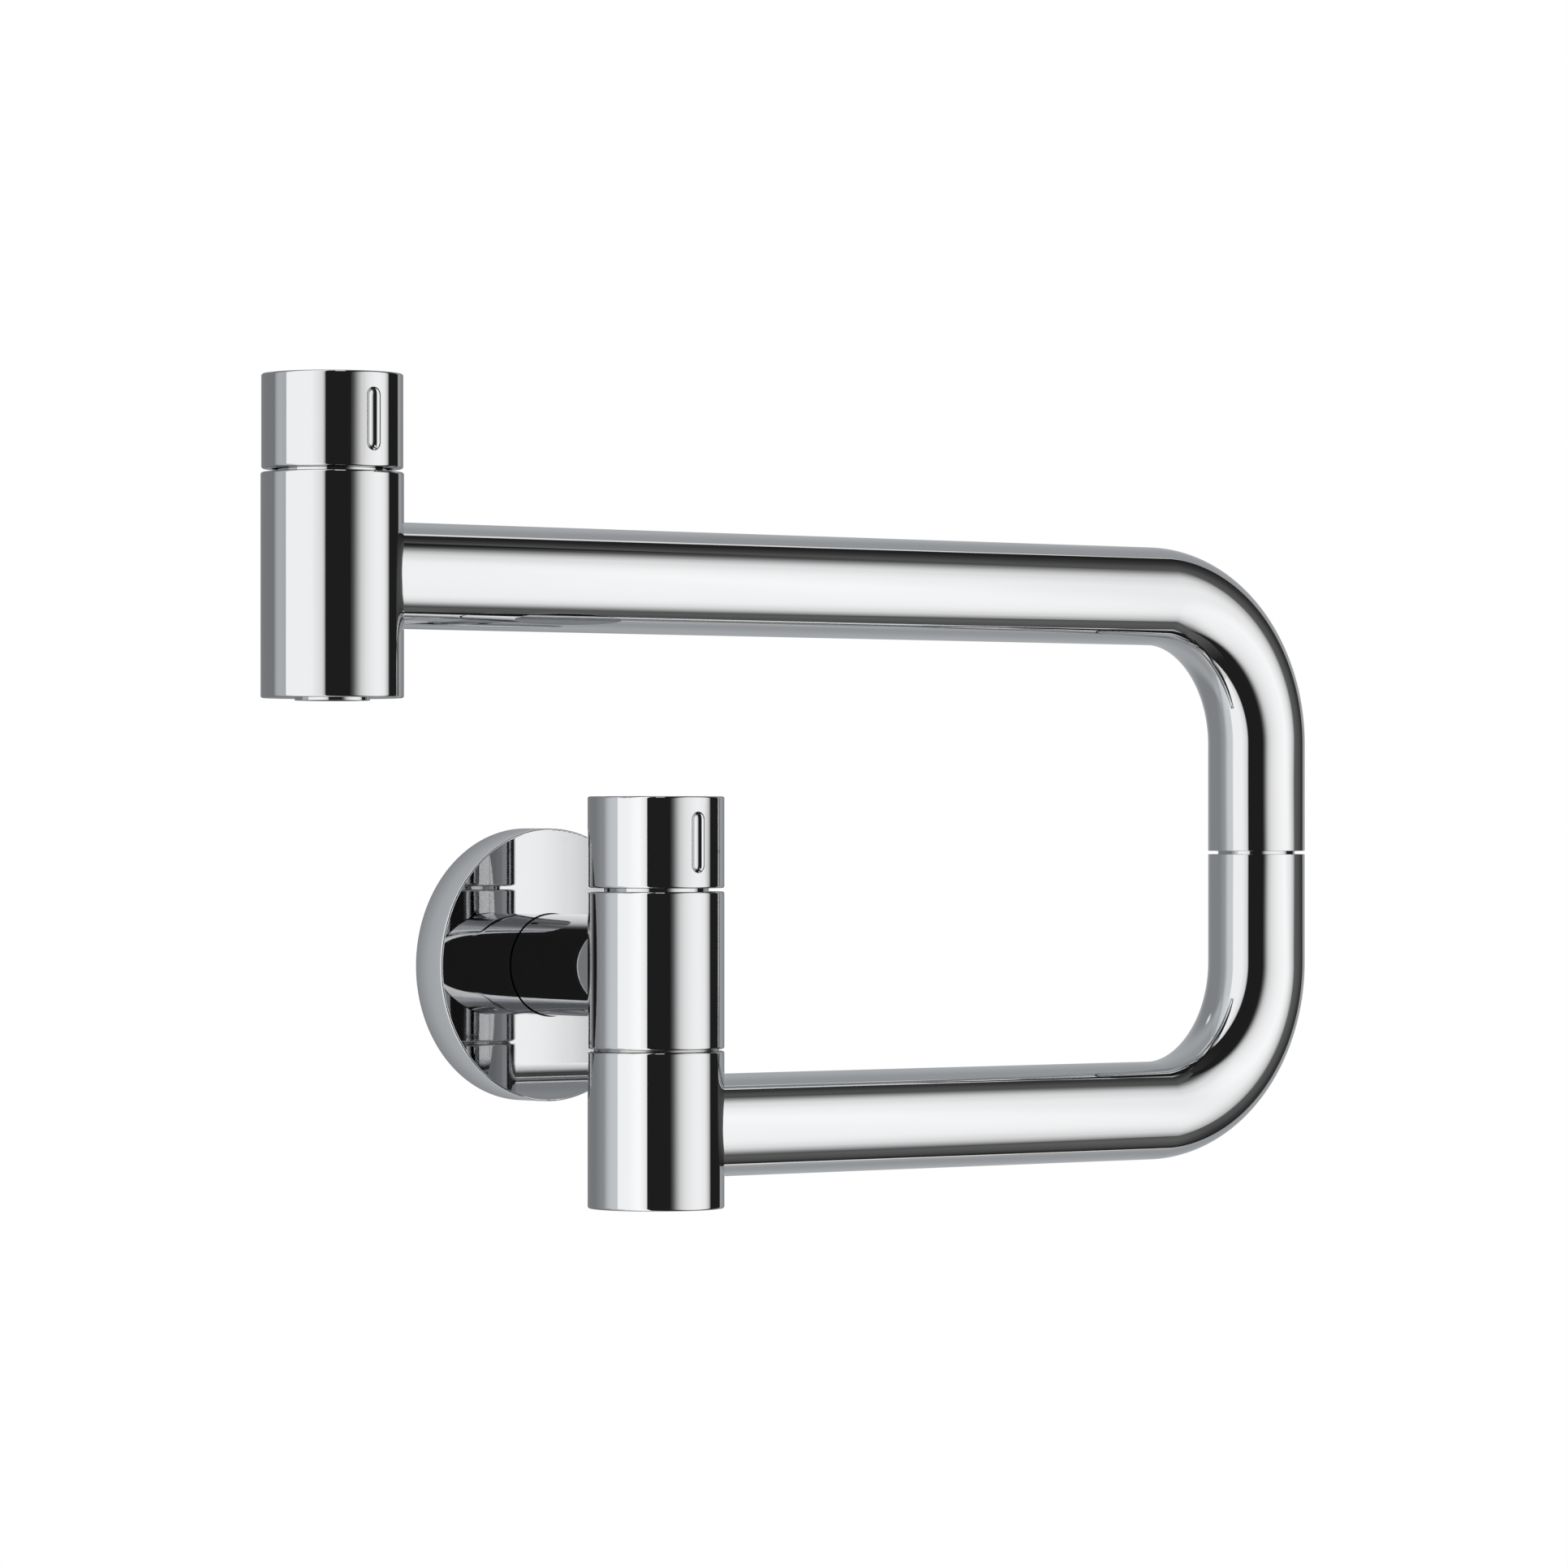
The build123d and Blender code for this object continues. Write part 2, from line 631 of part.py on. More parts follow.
# Elbow socket: brazed into the end of the lower tube, flush with it
elbow_running = elbow_radius + running_clearance
socket_bottom = lower_tube_end - socket_length
socket_seat = socket_bottom + socket_floor
elbow_bush_outer = elbow_running + elbow_bush_wall
elbow_ring_top = lower_tube_end - elbow_ring_drop
elbow_ring_bottom = elbow_ring_top - elbow_ring_section
with BuildPart(elbow_axis) as elbow_socket:
    drum(tube_inner - fit_clearance, socket_bottom, lower_tube_end)
    drum(elbow_running, socket_seat, lower_tube_end, mode=Mode.SUBTRACT)
    drum(elbow_bore, socket_bottom, socket_seat, mode=Mode.SUBTRACT)
    drum(
        elbow_bush_outer + fit_clearance,
        lower_tube_end - elbow_bush_height,
        lower_tube_end,
        mode=Mode.SUBTRACT,
    )
    drum(
        elbow_radius + elbow_ring_groove + end_gap,
        elbow_ring_bottom - end_gap,
        elbow_ring_top + end_gap,
        mode=Mode.SUBTRACT,
    )
elbow_socket.part.label = "elbow_socket"
export_step(elbow_socket.part, "parts/elbow_socket.step")

# Slide bush at the mouth of the socket
with BuildPart(elbow_axis) as elbow_bush:
    ring(elbow_bush_outer, elbow_running, lower_tube_end - elbow_bush_height, lower_tube_end)
elbow_bush.part.label = "elbow_bush"
export_step(elbow_bush.part, "parts/elbow_bush.step")

# Flanged bush that the foot of the spigot stands in
foot_radius = elbow_radius - foot_wall
with BuildPart(elbow_axis) as elbow_foot_bush:
    drum(elbow_radius, socket_seat, socket_seat + foot_height)
    drum(
        foot_radius + running_clearance,
        socket_seat + foot_flange,
        socket_seat + foot_height,
        mode=Mode.SUBTRACT,
    )
    drum(elbow_bore, socket_seat, socket_seat + foot_flange, mode=Mode.SUBTRACT)
elbow_foot_bush.part.label = "elbow_foot_bush"
export_step(elbow_foot_bush.part, "parts/elbow_foot_bush.step")

# Elbow spigot: brazed into the end of the upper tube, its neck shows in the gap between the tubes
foot_bottom = socket_seat + foot_flange + running_clearance
foot_top = socket_seat + foot_height + end_gap
elbow_o_ring_heights = (lower_tube_end - elbow_o_ring_upper, lower_tube_end - elbow_o_ring_lower)
with BuildPart(elbow_axis) as elbow_spigot:
    drum(foot_radius, foot_bottom, foot_top)
    drum(elbow_radius, foot_top, upper_tube_end)
    drum(tube_inner - fit_clearance, upper_tube_end, upper_tube_end + spigot_grip)
    for height in elbow_o_ring_heights:
        groove(
            elbow_radius,
            o_ring_floor(elbow_running, o_ring_section),
            height - o_ring_groove_width / 2,
            height + o_ring_groove_width / 2,
        )
    groove(elbow_radius, elbow_radius - elbow_ring_groove, elbow_ring_bottom, elbow_ring_top)
    drum(elbow_bore, foot_bottom, upper_tube_end + spigot_grip, mode=Mode.SUBTRACT)
elbow_spigot.part.label = "elbow_spigot"
export_step(elbow_spigot.part, "parts/elbow_spigot.step")

# O-rings of the elbow
with BuildPart(elbow_axis) as elbow_o_rings:
    for height in elbow_o_ring_heights:
        o_ring(elbow_running, o_ring_section, height)
elbow_o_rings.part.label = "elbow_o_rings"
export_step(elbow_o_rings.part, "parts/elbow_o_rings.step")

# Snap ring that keeps the spigot in the socket
with BuildPart(elbow_axis) as elbow_snap_ring:
    ring(
        elbow_radius + elbow_ring_groove,
        elbow_radius - elbow_ring_groove + fit_clearance,
        elbow_ring_bottom,
        elbow_ring_top,
    )
elbow_snap_ring.part.label = "elbow_snap_ring"
export_step(elbow_snap_ring.part, "parts/elbow_snap_ring.step")

# Aerator housing, with a shelf that holds the insert
aerator_bottom = spout_bottom - aerator_lip
aerator_top = aerator_bottom + aerator_height
aerator_inner = aerator_radius - aerator_wall
insert_bottom = aerator_bottom + aerator_shelf
with BuildPart(spout_axis) as aerator_housing:
    drum(aerator_radius, aerator_bottom, aerator_top)
    drum(aerator_inner, insert_bottom, aerator_top, mode=Mode.SUBTRACT)
    drum(aerator_inner - aerator_shelf, aerator_bottom, insert_bottom, mode=Mode.SUBTRACT)
aerator_housing.part.label = "aerator_housing"
export_step(aerator_housing.part, "parts/aerator_housing.step")

# Aerator insert: a grid of holes in rings
with BuildPart(spout_axis) as aerator_insert:
    drum(aerator_inner - fit_clearance, insert_bottom, insert_bottom + aerator_insert_height)
    with BuildSketch(spout_axis.offset(insert_bottom)):
        Circle(aerator_hole_radius)
        for index in range(1, aerator_rings + 1):
            with PolarLocations(index * aerator_hole_pitch, 6 * index):
                Circle(aerator_hole_radius)
    extrude(amount=aerator_insert_height, mode=Mode.SUBTRACT)
aerator_insert.part.label = "aerator_insert"
export_step(aerator_insert.part, "parts/aerator_insert.step")

# Aerator washer, between the housing and the spout body
with BuildPart(spout_axis) as aerator_washer:
    ring(aerator_radius, aerator_washer_bore, aerator_top, aerator_hole_top)
aerator_washer.part.label = "aerator_washer"
export_step(aerator_washer.part, "parts/aerator_washer.step")
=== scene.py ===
# %% [markdown]
# # A folding pot filler in mirror chrome
#
# This lesson dresses a wall-mounted pot filler: a round rosette, a valve column, two bent arms that fold
# over each other, and a spout. The solids come ready from CAD, at their real size. Blender adds what CAD
# leaves plain: the finish of every surface, finer skins where a mirror would show flat facets, the pipe
# thread, and a small studio around it all.
#
# The frame is loaded first, because every later step reads its places from it and never moves it.

# %% Load the frame
import json
import math

import bmesh
import bpy
from mathutils import Matrix, Vector


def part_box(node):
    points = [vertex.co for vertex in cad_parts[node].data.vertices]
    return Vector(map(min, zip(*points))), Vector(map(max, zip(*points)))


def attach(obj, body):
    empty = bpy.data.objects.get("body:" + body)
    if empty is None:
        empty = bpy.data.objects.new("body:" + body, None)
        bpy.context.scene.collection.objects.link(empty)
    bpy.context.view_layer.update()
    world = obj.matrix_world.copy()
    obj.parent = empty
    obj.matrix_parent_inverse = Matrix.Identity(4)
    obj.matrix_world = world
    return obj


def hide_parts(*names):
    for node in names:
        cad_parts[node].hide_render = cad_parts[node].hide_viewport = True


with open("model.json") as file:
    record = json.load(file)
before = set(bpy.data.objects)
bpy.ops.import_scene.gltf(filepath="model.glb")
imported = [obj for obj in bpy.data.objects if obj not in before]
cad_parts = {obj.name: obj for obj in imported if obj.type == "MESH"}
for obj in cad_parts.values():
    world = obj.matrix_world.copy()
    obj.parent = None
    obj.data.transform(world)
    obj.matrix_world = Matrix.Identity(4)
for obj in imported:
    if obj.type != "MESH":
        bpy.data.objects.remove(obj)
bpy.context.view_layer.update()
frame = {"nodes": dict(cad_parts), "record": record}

mm = 0.001
nodes = frame["nodes"]

# %% [markdown]
# ## Where the main things are
#
# A lathe-turned column is known by its axis, and a tube by its centre line and its radius. They can be
# read from the boxes of the CAD nodes, so no place is typed in twice.

# %% Read the axes and the tube's radius from the frame


def middle_of(name):
    """The middle of a node's box; on an upright round node it lies on the axis."""
    low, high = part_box(name)
    return (low + high) / 2


valve_middle = middle_of("valve_body")
elbow_middle = middle_of("elbow_spigot")
arm_y = valve_middle.y
stub_low, stub_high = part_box("stub")
tube_radius = (stub_high.x - stub_low.x) / 2
print("valve axis", valve_middle.xy, "elbow axis", elbow_middle.xy, "tube radius", tube_radius)

# %% [markdown]
# ## Small helpers for materials
#
# Paint makers and photographs give colours in sRGB, while a shader wants linear light. One function turns
# the usual hex code into linear values. Another adds a node, sets its properties and joins its inputs, so
# that each material below reads as a short list of what feeds what. The third starts a material.

# %% Helpers for colours and nodes


def linear(hex_code):
    """The linear RGBA value of an sRGB hex colour such as #C0C4C8."""
    channels = []
    for start in (1, 3, 5):
        value = int(hex_code[start:start + 2], 16) / 255
        if value <= 0.04045:
            channels.append(value / 12.92)
        else:
            channels.append(((value + 0.055) / 1.055) ** 2.4)
    return (*channels, 1.0)


def add_node(tree, kind, inputs=None, **settings):
    """Add a node; each input is either the socket that feeds it or its own fixed value."""
    added = tree.nodes.new(kind)
    for name, value in settings.items():
        setattr(added, name, value)
    for name, source in (inputs or {}).items():
        if isinstance(source, bpy.types.NodeSocket):
            tree.links.new(source, added.inputs[name])
        else:
            added.inputs[name].default_value = source
    return added


def new_material(name):
    """A material with an empty node tree and its Principled shader, joined to the output."""
    material = bpy.data.materials.new(name)
    material.use_nodes = True
    tree = material.node_tree
    tree.nodes.clear()
    shader = add_node(tree, "ShaderNodeBsdfPrincipled")
    add_node(tree, "ShaderNodeOutputMaterial", {"Surface": shader.outputs["BSDF"]})
    return material, tree, shader


# %% [markdown]
# ## Chrome
#
# The visible metal is brass, buffed and plated with nickel and a thin layer of chrome. To the eye it is
# a cool, almost neutral mirror. It sends back two thirds of the light that meets it head on, and nearly
# all at a grazing angle, so rims look brighter, and a mirror image in a mirror image looks darker. A
# perfect mirror looks like a computer's, so the roughness wanders a little: a broad haze that buffing
# leaves, and a fine one like wiped-off water marks. Noise on Object coordinates gives both, at sizes in
# real millimetres.

# %% Make the chrome
chrome, tree, shader = new_material("chrome_plate_mirror_polished")
buffing_size = 60 * mm
wipe_size = 4 * mm
smoothest = 0.015
roughest = 0.05
place = add_node(tree, "ShaderNodeTexCoord").outputs["Object"]
buffing = add_node(
    tree, "ShaderNodeTexNoise", {"Vector": place, "Scale": 1 / buffing_size, "Detail": 2.0}
).outputs["Fac"]
wipe = add_node(
    tree, "ShaderNodeTexNoise", {"Vector": place, "Scale": 1 / wipe_size, "Detail": 3.0}
).outputs["Fac"]
both = add_node(tree, "ShaderNodeMath", {0: buffing, 1: wipe}, operation="MULTIPLY").outputs["Value"]
gloss = add_node(
    tree,
    "ShaderNodeMapRange",
    {"Value": both, "From Min": 0.1, "From Max": 0.5, "To Min": smoothest, "To Max": roughest},
)
# Of a Mix node's sockets, inputs 6 and 7 are its two colours, and output 2 is the mixed one.
tint = add_node(
    tree,
    "ShaderNodeMix",
    {"Factor": buffing, 6: linear("#D4D5D6"), 7: linear("#D7D7D8")},
    data_type="RGBA",
)
tree.links.new(tint.outputs[2], shader.inputs["Base Color"])
tree.links.new(gloss.outputs["Result"], shader.inputs["Roughness"])
shader.inputs["Metallic"].default_value = 1.0
print("made", chrome.name)

# %% [markdown]
# ## The hidden metals, ceramics and rubbers
#
# Inside are pieces that show only when the tap is taken apart, or from the wall side. Each has a simple
# shader with the grain that its making leaves: one noise drives its colour, its gloss and a slight relief.

# %% Helper for a material with a grain
gloss_spread = 0.06
relief_share = 0.1


def grained(name, dark, light, grain, rough, metallic, bump):
    """A material whose colour, gloss and surface follow one noise of a given grain size."""
    material, tree, shader = new_material(name)
    place = add_node(tree, "ShaderNodeTexCoord").outputs["Object"]
    noise = add_node(
        tree, "ShaderNodeTexNoise", {"Vector": place, "Scale": 1 / grain, "Detail": 4.0}
    ).outputs["Fac"]
    colour = add_node(
        tree,
        "ShaderNodeMix",
        {"Factor": noise, 6: linear(dark), 7: linear(light)},
        data_type="RGBA",
    )
    gloss = add_node(
        tree,
        "ShaderNodeMapRange",
        {"Value": noise, "To Min": rough - gloss_spread, "To Max": rough + gloss_spread},
    )
    relief = add_node(
        tree,
        "ShaderNodeBump",
        {"Height": noise, "Strength": bump, "Distance": grain * relief_share},
    )
    tree.links.new(colour.outputs[2], shader.inputs["Base Color"])
    tree.links.new(gloss.outputs["Result"], shader.inputs["Roughness"])
    tree.links.new(relief.outputs["Normal"], shader.inputs["Normal"])
    shader.inputs["Metallic"].default_value = metallic
    return material


# %% [markdown]
# Then come the materials themselves: turned brass, spring steel, lapped ceramic discs, black rubber seals
# and acetal bushes. The record of the frame says which slot each node has.

# %% Make the other materials and dress the nodes
# Turned brass: warm yellow, with fine tool marks that blur its shine.
brass = grained(
    "brass_turned", "#C9A25A", "#DDBB77", grain=0.6 * mm, rough=0.28, metallic=1.0, bump=0.15
)
# Stainless spring steel: grey with a faint warm cast, rolled bright.
steel = grained(
    "stainless_steel_rolled", "#B9B7B2", "#CBCAC7", grain=1.2 * mm, rough=0.2, metallic=1.0, bump=0.05
)
# Alumina ceramic: off-white and lapped to a silky face.
ceramic = grained(
    "alumina_ceramic_lapped", "#E6E1D6", "#F2EEE5", grain=0.5 * mm, rough=0.3, metallic=0.0, bump=0.02
)
# EPDM rubber: black, moulded, with a dusty sheen.
rubber = grained(
    "epdm_rubber_moulded", "#141414", "#222222", grain=0.8 * mm, rough=0.6, metallic=0.0, bump=0.2
)
# Natural acetal: milky white, turned, with a waxy gloss.
acetal = grained(
    "acetal_natural_turned", "#DEDCD2", "#EAE8E0", grain=1.5 * mm, rough=0.4, metallic=0.0, bump=0.05
)
# Dark acetal: the grey moulded insert of the aerator.
dark_acetal = grained(
    "acetal_grey_moulded", "#43464A", "#4F5256", grain=1.0 * mm, rough=0.42, metallic=0.0, bump=0.08
)

finishes = {
    "chrome": chrome,
    "brass": brass,
    "steel": steel,
    "ceramic": ceramic,
    "rubber": rubber,
    "bush_plastic": acetal,
    "insert_plastic": dark_acetal,
}
for subpart in frame["record"]["subparts"]:
    nodes[subpart["node"]].material_slots[0].material = finishes[subpart["material_slot"]]
print("dressed", len(nodes), "CAD nodes")

# %% [markdown]
# ## Finer skins for the bent tubes
#
# The arms are drawn tube of 30 mm with a 1.5 mm wall, bent cold round a former of one and a half times
# the diameter. A CAD mesh is flat between its corners, and a mirror shows every flat. So each tube is made
# again, finer, the way the bender made it: a ring is pushed along the straight, spun a quarter turn round
# the middle of the bend, and pushed along the last straight. An array of rings on a curve would do as well,
# but the spin puts each ring exactly where the former would.
#
# The helpers come first. A finished piece has its double corners merged and its normals turned outwards,
# and is then given to the body that it rides and the node that it stands in for.

# %% Helpers for new pieces
merge_gap = 1e-7
sharp_angle = math.radians(32)


def new_piece(name, bm, material, body, replaced):
    """Turn a bmesh into a finished piece that rides a body and stands in for CAD nodes."""
    bmesh.ops.remove_doubles(bm, verts=bm.verts[:], dist=merge_gap)
    bmesh.ops.recalc_face_normals(bm, faces=bm.faces[:])
    for face in bm.faces:
        face.smooth = True
    open_edges = sum(edge.is_boundary for edge in bm.edges)
    mesh = bpy.data.meshes.new(name)
    bm.to_mesh(mesh)
    bm.free()
    mesh.set_sharp_from_angle(angle=sharp_angle)
    mesh.materials.append(material)
    made = bpy.data.objects.new(name, mesh)
    bpy.context.scene.collection.objects.link(made)
    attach(made, body)
    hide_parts(*replaced)
    print(name, len(mesh.polygons), "faces", open_edges, "open edges")
    return made


def ring_edges(corners):
    """The edges between the corners of a ring, each once and always in the same order."""
    return list(dict.fromkeys(edge for corner in corners for edge in corner.link_edges))


def push(bm, edges, way):
    """Extrude a ring of edges along a way, and return the new ring."""
    grown = bmesh.ops.extrude_edge_only(bm, edges=edges)["geom"]
    corners = [item for item in grown if isinstance(item, bmesh.types.BMVert)]
    bmesh.ops.translate(bm, verts=corners, vec=way)
    return [item for item in grown if isinstance(item, bmesh.types.BMEdge)]


# %% [markdown]
# A tube is two such skins, one inside the other, joined at both ends. The end that meets the other arm has
# its sharp edge broken. The skin is a hair thinner than the CAD tube, so it stays inside the CAD box.

# %% Bend the two arm tubes
tube_wall = 1.5 * mm
bend_radius = 45 * mm
ring_segments = 128
bend_steps = 96
end_break = 0.15 * mm
skin_ease = 0.002 * mm


def bent_skin(bm, radius, start, straight, turn, rise):
    """One skin of a tube that starts along +X and bends up or down; returns its two end rings."""
    facing = Matrix.Translation(start) @ Matrix.Rotation(math.radians(90), 4, "Y")
    ring = bmesh.ops.create_circle(bm, segments=ring_segments, radius=radius, matrix=facing)
    first = ring_edges(ring["verts"])
    ring = push(bm, first, (straight, 0, 0))
    corners = list(dict.fromkeys(corner for edge in ring for corner in edge.verts))
    bent = bmesh.ops.spin(
        bm,
        geom=corners + ring,
        cent=start + Vector((straight, 0, turn * bend_radius)),
        axis=(0, -turn, 0),
        angle=math.radians(90),
        steps=bend_steps,
    )
    ring = [item for item in bent["geom_last"] if isinstance(item, bmesh.types.BMEdge)]
    return first, push(bm, ring, (0, 0, turn * rise))


def bent_tube(name, node, body, turn):
    """A hollow tube in the place of a CAD tube; turn is 1 when it bends up and -1 when it bends down."""
    low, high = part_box(node)
    level = low.z + tube_radius if turn > 0 else high.z - tube_radius
    end = high.z if turn > 0 else low.z
    start = Vector((low.x, arm_y, level))
    straight = elbow_middle.x - bend_radius - low.x
    rise = abs(end - level) - bend_radius
    skin_radius = high.x - elbow_middle.x - skin_ease
    bm = bmesh.new()
    outer_start, outer_end = bent_skin(bm, skin_radius, start, straight, turn, rise)
    inner_start, inner_end = bent_skin(bm, skin_radius - tube_wall, start, straight, turn, rise)
    bmesh.ops.bridge_loops(bm, edges=outer_start + inner_start)
    bmesh.ops.bridge_loops(bm, edges=outer_end + inner_end)
    bmesh.ops.bevel(
        bm,
        geom=outer_end,
        offset=end_break,
        segments=3,
        profile=0.5,
        material=-1,
        affect="EDGES",
    )
    return new_piece(name, bm, chrome, body, [node])


lower_tube = bent_tube("lower_arm_tube_fine", "lower_arm_tube", "lower_arm", 1)
upper_tube = bent_tube("upper_arm_tube_fine", "upper_arm_tube", "upper_arm", -1)

# %% [markdown]
# ## The pipe thread
#
# Behind the rosette a brass nipple screws into the wall. Its thread is G 1/2: 14 turns to the inch with
# rounded flanks of 55 degrees. A lathe cuts it by moving the tool one pitch along for each turn. The same
# is done here: the outline of one tooth is spun round the axis and moved a little along it at each step,
# so that each turn meets the next. Two flat cuts end it, and a hexagon goes through for the key.

# %% Measure the nipple and draw the tooth
thread_pitch = 1.814 * mm
thread_depth = 1.162 * mm
thread_steps = 64
turn_merge_gap = 1e-6
key_width = 12 * mm
runout_radius = 9.3 * mm
runout_start = -2.0 * mm
runout_end = -0.5 * mm
nipple_low, nipple_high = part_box("inlet_nipple")
crest_radius = (nipple_high.z - nipple_low.z) / 2
root_radius = crest_radius - thread_depth
flank_round = 0.12 * thread_depth
tooth = (
    (0.0, root_radius),
    (0.14, root_radius),
    (0.20, root_radius + flank_round),
    (0.40, crest_radius - flank_round),
    (0.46, crest_radius),
    (0.54, crest_radius),
    (0.60, crest_radius - flank_round),
    (0.80, root_radius + flank_round),
    (0.86, root_radius),
    (1.0, root_radius),
)
print("crest radius", crest_radius, "root radius", root_radius)

# %% [markdown]
# A round skin is closed at each end by filling the space between its open edge and a hexagon. The two
# hexagons are then joined, which makes the hole for the key.

# %% Helpers for closing a round skin


def hexagon(bm, along):
    """A ring of six edges for the key, across the nipple's axis."""
    facing = Matrix.Translation((0, along, 0)) @ Matrix.Rotation(math.radians(90), 4, "X")
    ring = bmesh.ops.create_circle(bm, segments=6, radius=key_width / math.sqrt(3), matrix=facing)
    return ring_edges(ring["verts"])


def bored(bm, low, high):
    """Close both ends of a round skin and put the key's hexagon through it."""
    open_edges = [edge for edge in bm.edges if edge.is_boundary]
    middle = (low + high) / 2
    low_ring = [edge for edge in open_edges if edge.verts[0].co.y < middle]
    high_ring = [edge for edge in open_edges if edge.verts[0].co.y > middle]
    low_key = hexagon(bm, low)
    high_key = hexagon(bm, high)
    bmesh.ops.triangle_fill(bm, edges=low_ring + low_key)
    bmesh.ops.triangle_fill(bm, edges=high_ring + high_key)
    bmesh.ops.bridge_loops(bm, edges=low_key + high_key)


# %% [markdown]
# The tooth is drawn point by point, spun into the thread, cut flat at both ends and closed. A plain groove,
# where the tool runs out, and the plain shank are pushed rings, closed the same way and added to it.

# %% Cut the thread of the inlet nipple
thread_start = runout_end - thread_pitch
thread_turns = math.ceil((nipple_high.y - thread_start) / thread_pitch) + 1
bm = bmesh.new()
point = bm.verts.new((tooth[0][1], thread_start, 0))
for share, radius in tooth[1:]:
    grown = bmesh.ops.extrude_vert_indiv(bm, verts=[point])
    point = grown["verts"][0]
    point.co = (radius, thread_start + share * thread_pitch, 0)
bmesh.ops.spin(
    bm,
    geom=bm.verts[:] + bm.edges[:],
    cent=(0, 0, 0),
    axis=(0, 1, 0),
    dvec=(0, thread_pitch / thread_steps, 0),
    angle=math.radians(360) * thread_turns,
    steps=thread_steps * thread_turns,
)
bmesh.ops.remove_doubles(bm, verts=bm.verts[:], dist=turn_merge_gap)
for level, outward in ((nipple_high.y, 1), (runout_end, -1)):
    bmesh.ops.bisect_plane(
        bm,
        geom=bm.verts[:] + bm.edges[:] + bm.faces[:],
        plane_co=(0, level, 0),
        plane_no=(0, outward, 0),
        clear_outer=True,
    )
bored(bm, runout_end, nipple_high.y)

for radius, low, high in (
    (runout_radius, runout_start, runout_end),
    (crest_radius, nipple_low.y, runout_start),
):
    part = bmesh.new()
    facing = Matrix.Translation((0, low, 0)) @ Matrix.Rotation(math.radians(90), 4, "X")
    ring = bmesh.ops.create_circle(part, segments=thread_steps, radius=radius, matrix=facing)
    push(part, ring_edges(ring["verts"]), (0, high - low, 0))
    bored(part, low, high)
    shank = bpy.data.meshes.new("shank_part")
    part.to_mesh(shank)
    part.free()
    bm.from_mesh(shank)
    bpy.data.meshes.remove(shank)
new_piece("inlet_nipple_threaded", bm, brass, "wall_unit", ["inlet_nipple"])

# %% [markdown]
# ## The camera
#
# The photographer stood to the left of the valve, level with it, far away with a long lens, so uprights
# stay upright and the arms barely converge. A level camera cannot tilt, so the picture is framed with a
# little lens shift instead.

# %% Place the camera
view_angle = math.radians(39.28)
image_width = 1932
focal_pixels = 8821
horizon_drop = 53.6
camera_distance = 2072.1 * mm
camera_aside = 37.04 * mm
camera_height = 40.5 * mm
sight = Vector((math.sin(view_angle), math.cos(view_angle), 0))
aside = Vector((math.cos(view_angle), -math.sin(view_angle), 0))

lens = bpy.data.cameras.new("portrait_lens")
lens.sensor_width = 36
lens.lens = lens.sensor_width * focal_pixels / image_width
lens.shift_y = horizon_drop / image_width
camera = bpy.data.objects.new("portrait_camera", lens)
stand = Vector((valve_middle.x, arm_y, camera_height))
camera.location = stand - sight * camera_distance + aside * camera_aside
camera.rotation_euler = sight.to_track_quat("-Z", "Y").to_euler()
bpy.context.scene.collection.objects.link(camera)
bpy.context.scene.camera = camera
print("camera at", camera.location, "lens", lens.lens)

# %% [markdown]
# ## The studio
#
# Chrome has no colour of its own: what it shows is the room. So the room is built as a product
# photographer builds one. White paper all round gives the bright bands. At the front right hangs a large
# softbox with blurred edges, in a corner of black cloth: the black draws the dark bands. Behind the tap
# is grey paper. The cards stand clear of the tap, and the camera itself sees none of them.

# %% Light the white surround
scene = bpy.context.scene
scene.view_settings.view_transform = "Standard"
world = bpy.data.worlds.new("white_surround")
scene.world = world
world.use_nodes = True
tree = world.node_tree
tree.nodes.clear()
surround_fill = 0.45


def seen_directly(tree):
    """1 for rays from the camera, a mirror or glass, and 0 for rays that only carry light."""
    path = add_node(tree, "ShaderNodeLightPath")
    mirrored = add_node(
        tree,
        "ShaderNodeMath",
        {0: path.outputs["Is Camera Ray"], 1: path.outputs["Is Glossy Ray"]},
        operation="ADD",
    )
    return add_node(
        tree,
        "ShaderNodeMath",
        {0: mirrored.outputs["Value"], 1: path.outputs["Is Transmission Ray"]},
        operation="ADD",
        use_clamp=True,
    ).outputs["Value"]


strength = add_node(
    tree,
    "ShaderNodeMapRange",
    {"Value": seen_directly(tree), "To Min": surround_fill, "To Max": 1.0},
)
surround = add_node(
    tree,
    "ShaderNodeBackground",
    {"Color": linear("#FFFFFF"), "Strength": strength.outputs["Result"]},
)
add_node(tree, "ShaderNodeOutputWorld", {"Surface": surround.outputs["Background"]})
print("surround fill", surround_fill)

# %% [markdown]
# Each card is one rectangle, drawn out from a corner: the corner is extruded into an edge, and the edge
# into a sheet. The cards neither light the tap's matt pieces nor shade them, and the camera sees none.

# %% Helpers for the cards


def card(name, corner, first, second, material):
    """A flat card from one corner along two sides, hidden from the camera."""
    bm = bmesh.new()
    start = bm.verts.new(corner)
    side = bmesh.ops.extrude_vert_indiv(bm, verts=[start])
    bmesh.ops.translate(bm, verts=side["verts"], vec=first)
    sheet = bmesh.ops.extrude_edge_only(bm, edges=side["edges"])
    lifted = [item for item in sheet["geom"] if isinstance(item, bmesh.types.BMVert)]
    bmesh.ops.translate(bm, verts=lifted, vec=second)
    mesh = bpy.data.meshes.new(name)
    bm.to_mesh(mesh)
    bm.free()
    mesh.materials.append(material)
    made = bpy.data.objects.new(name, mesh)
    scene.collection.objects.link(made)
    made.visible_camera = False
    made.visible_diffuse = False
    made.visible_shadow = False
    return made


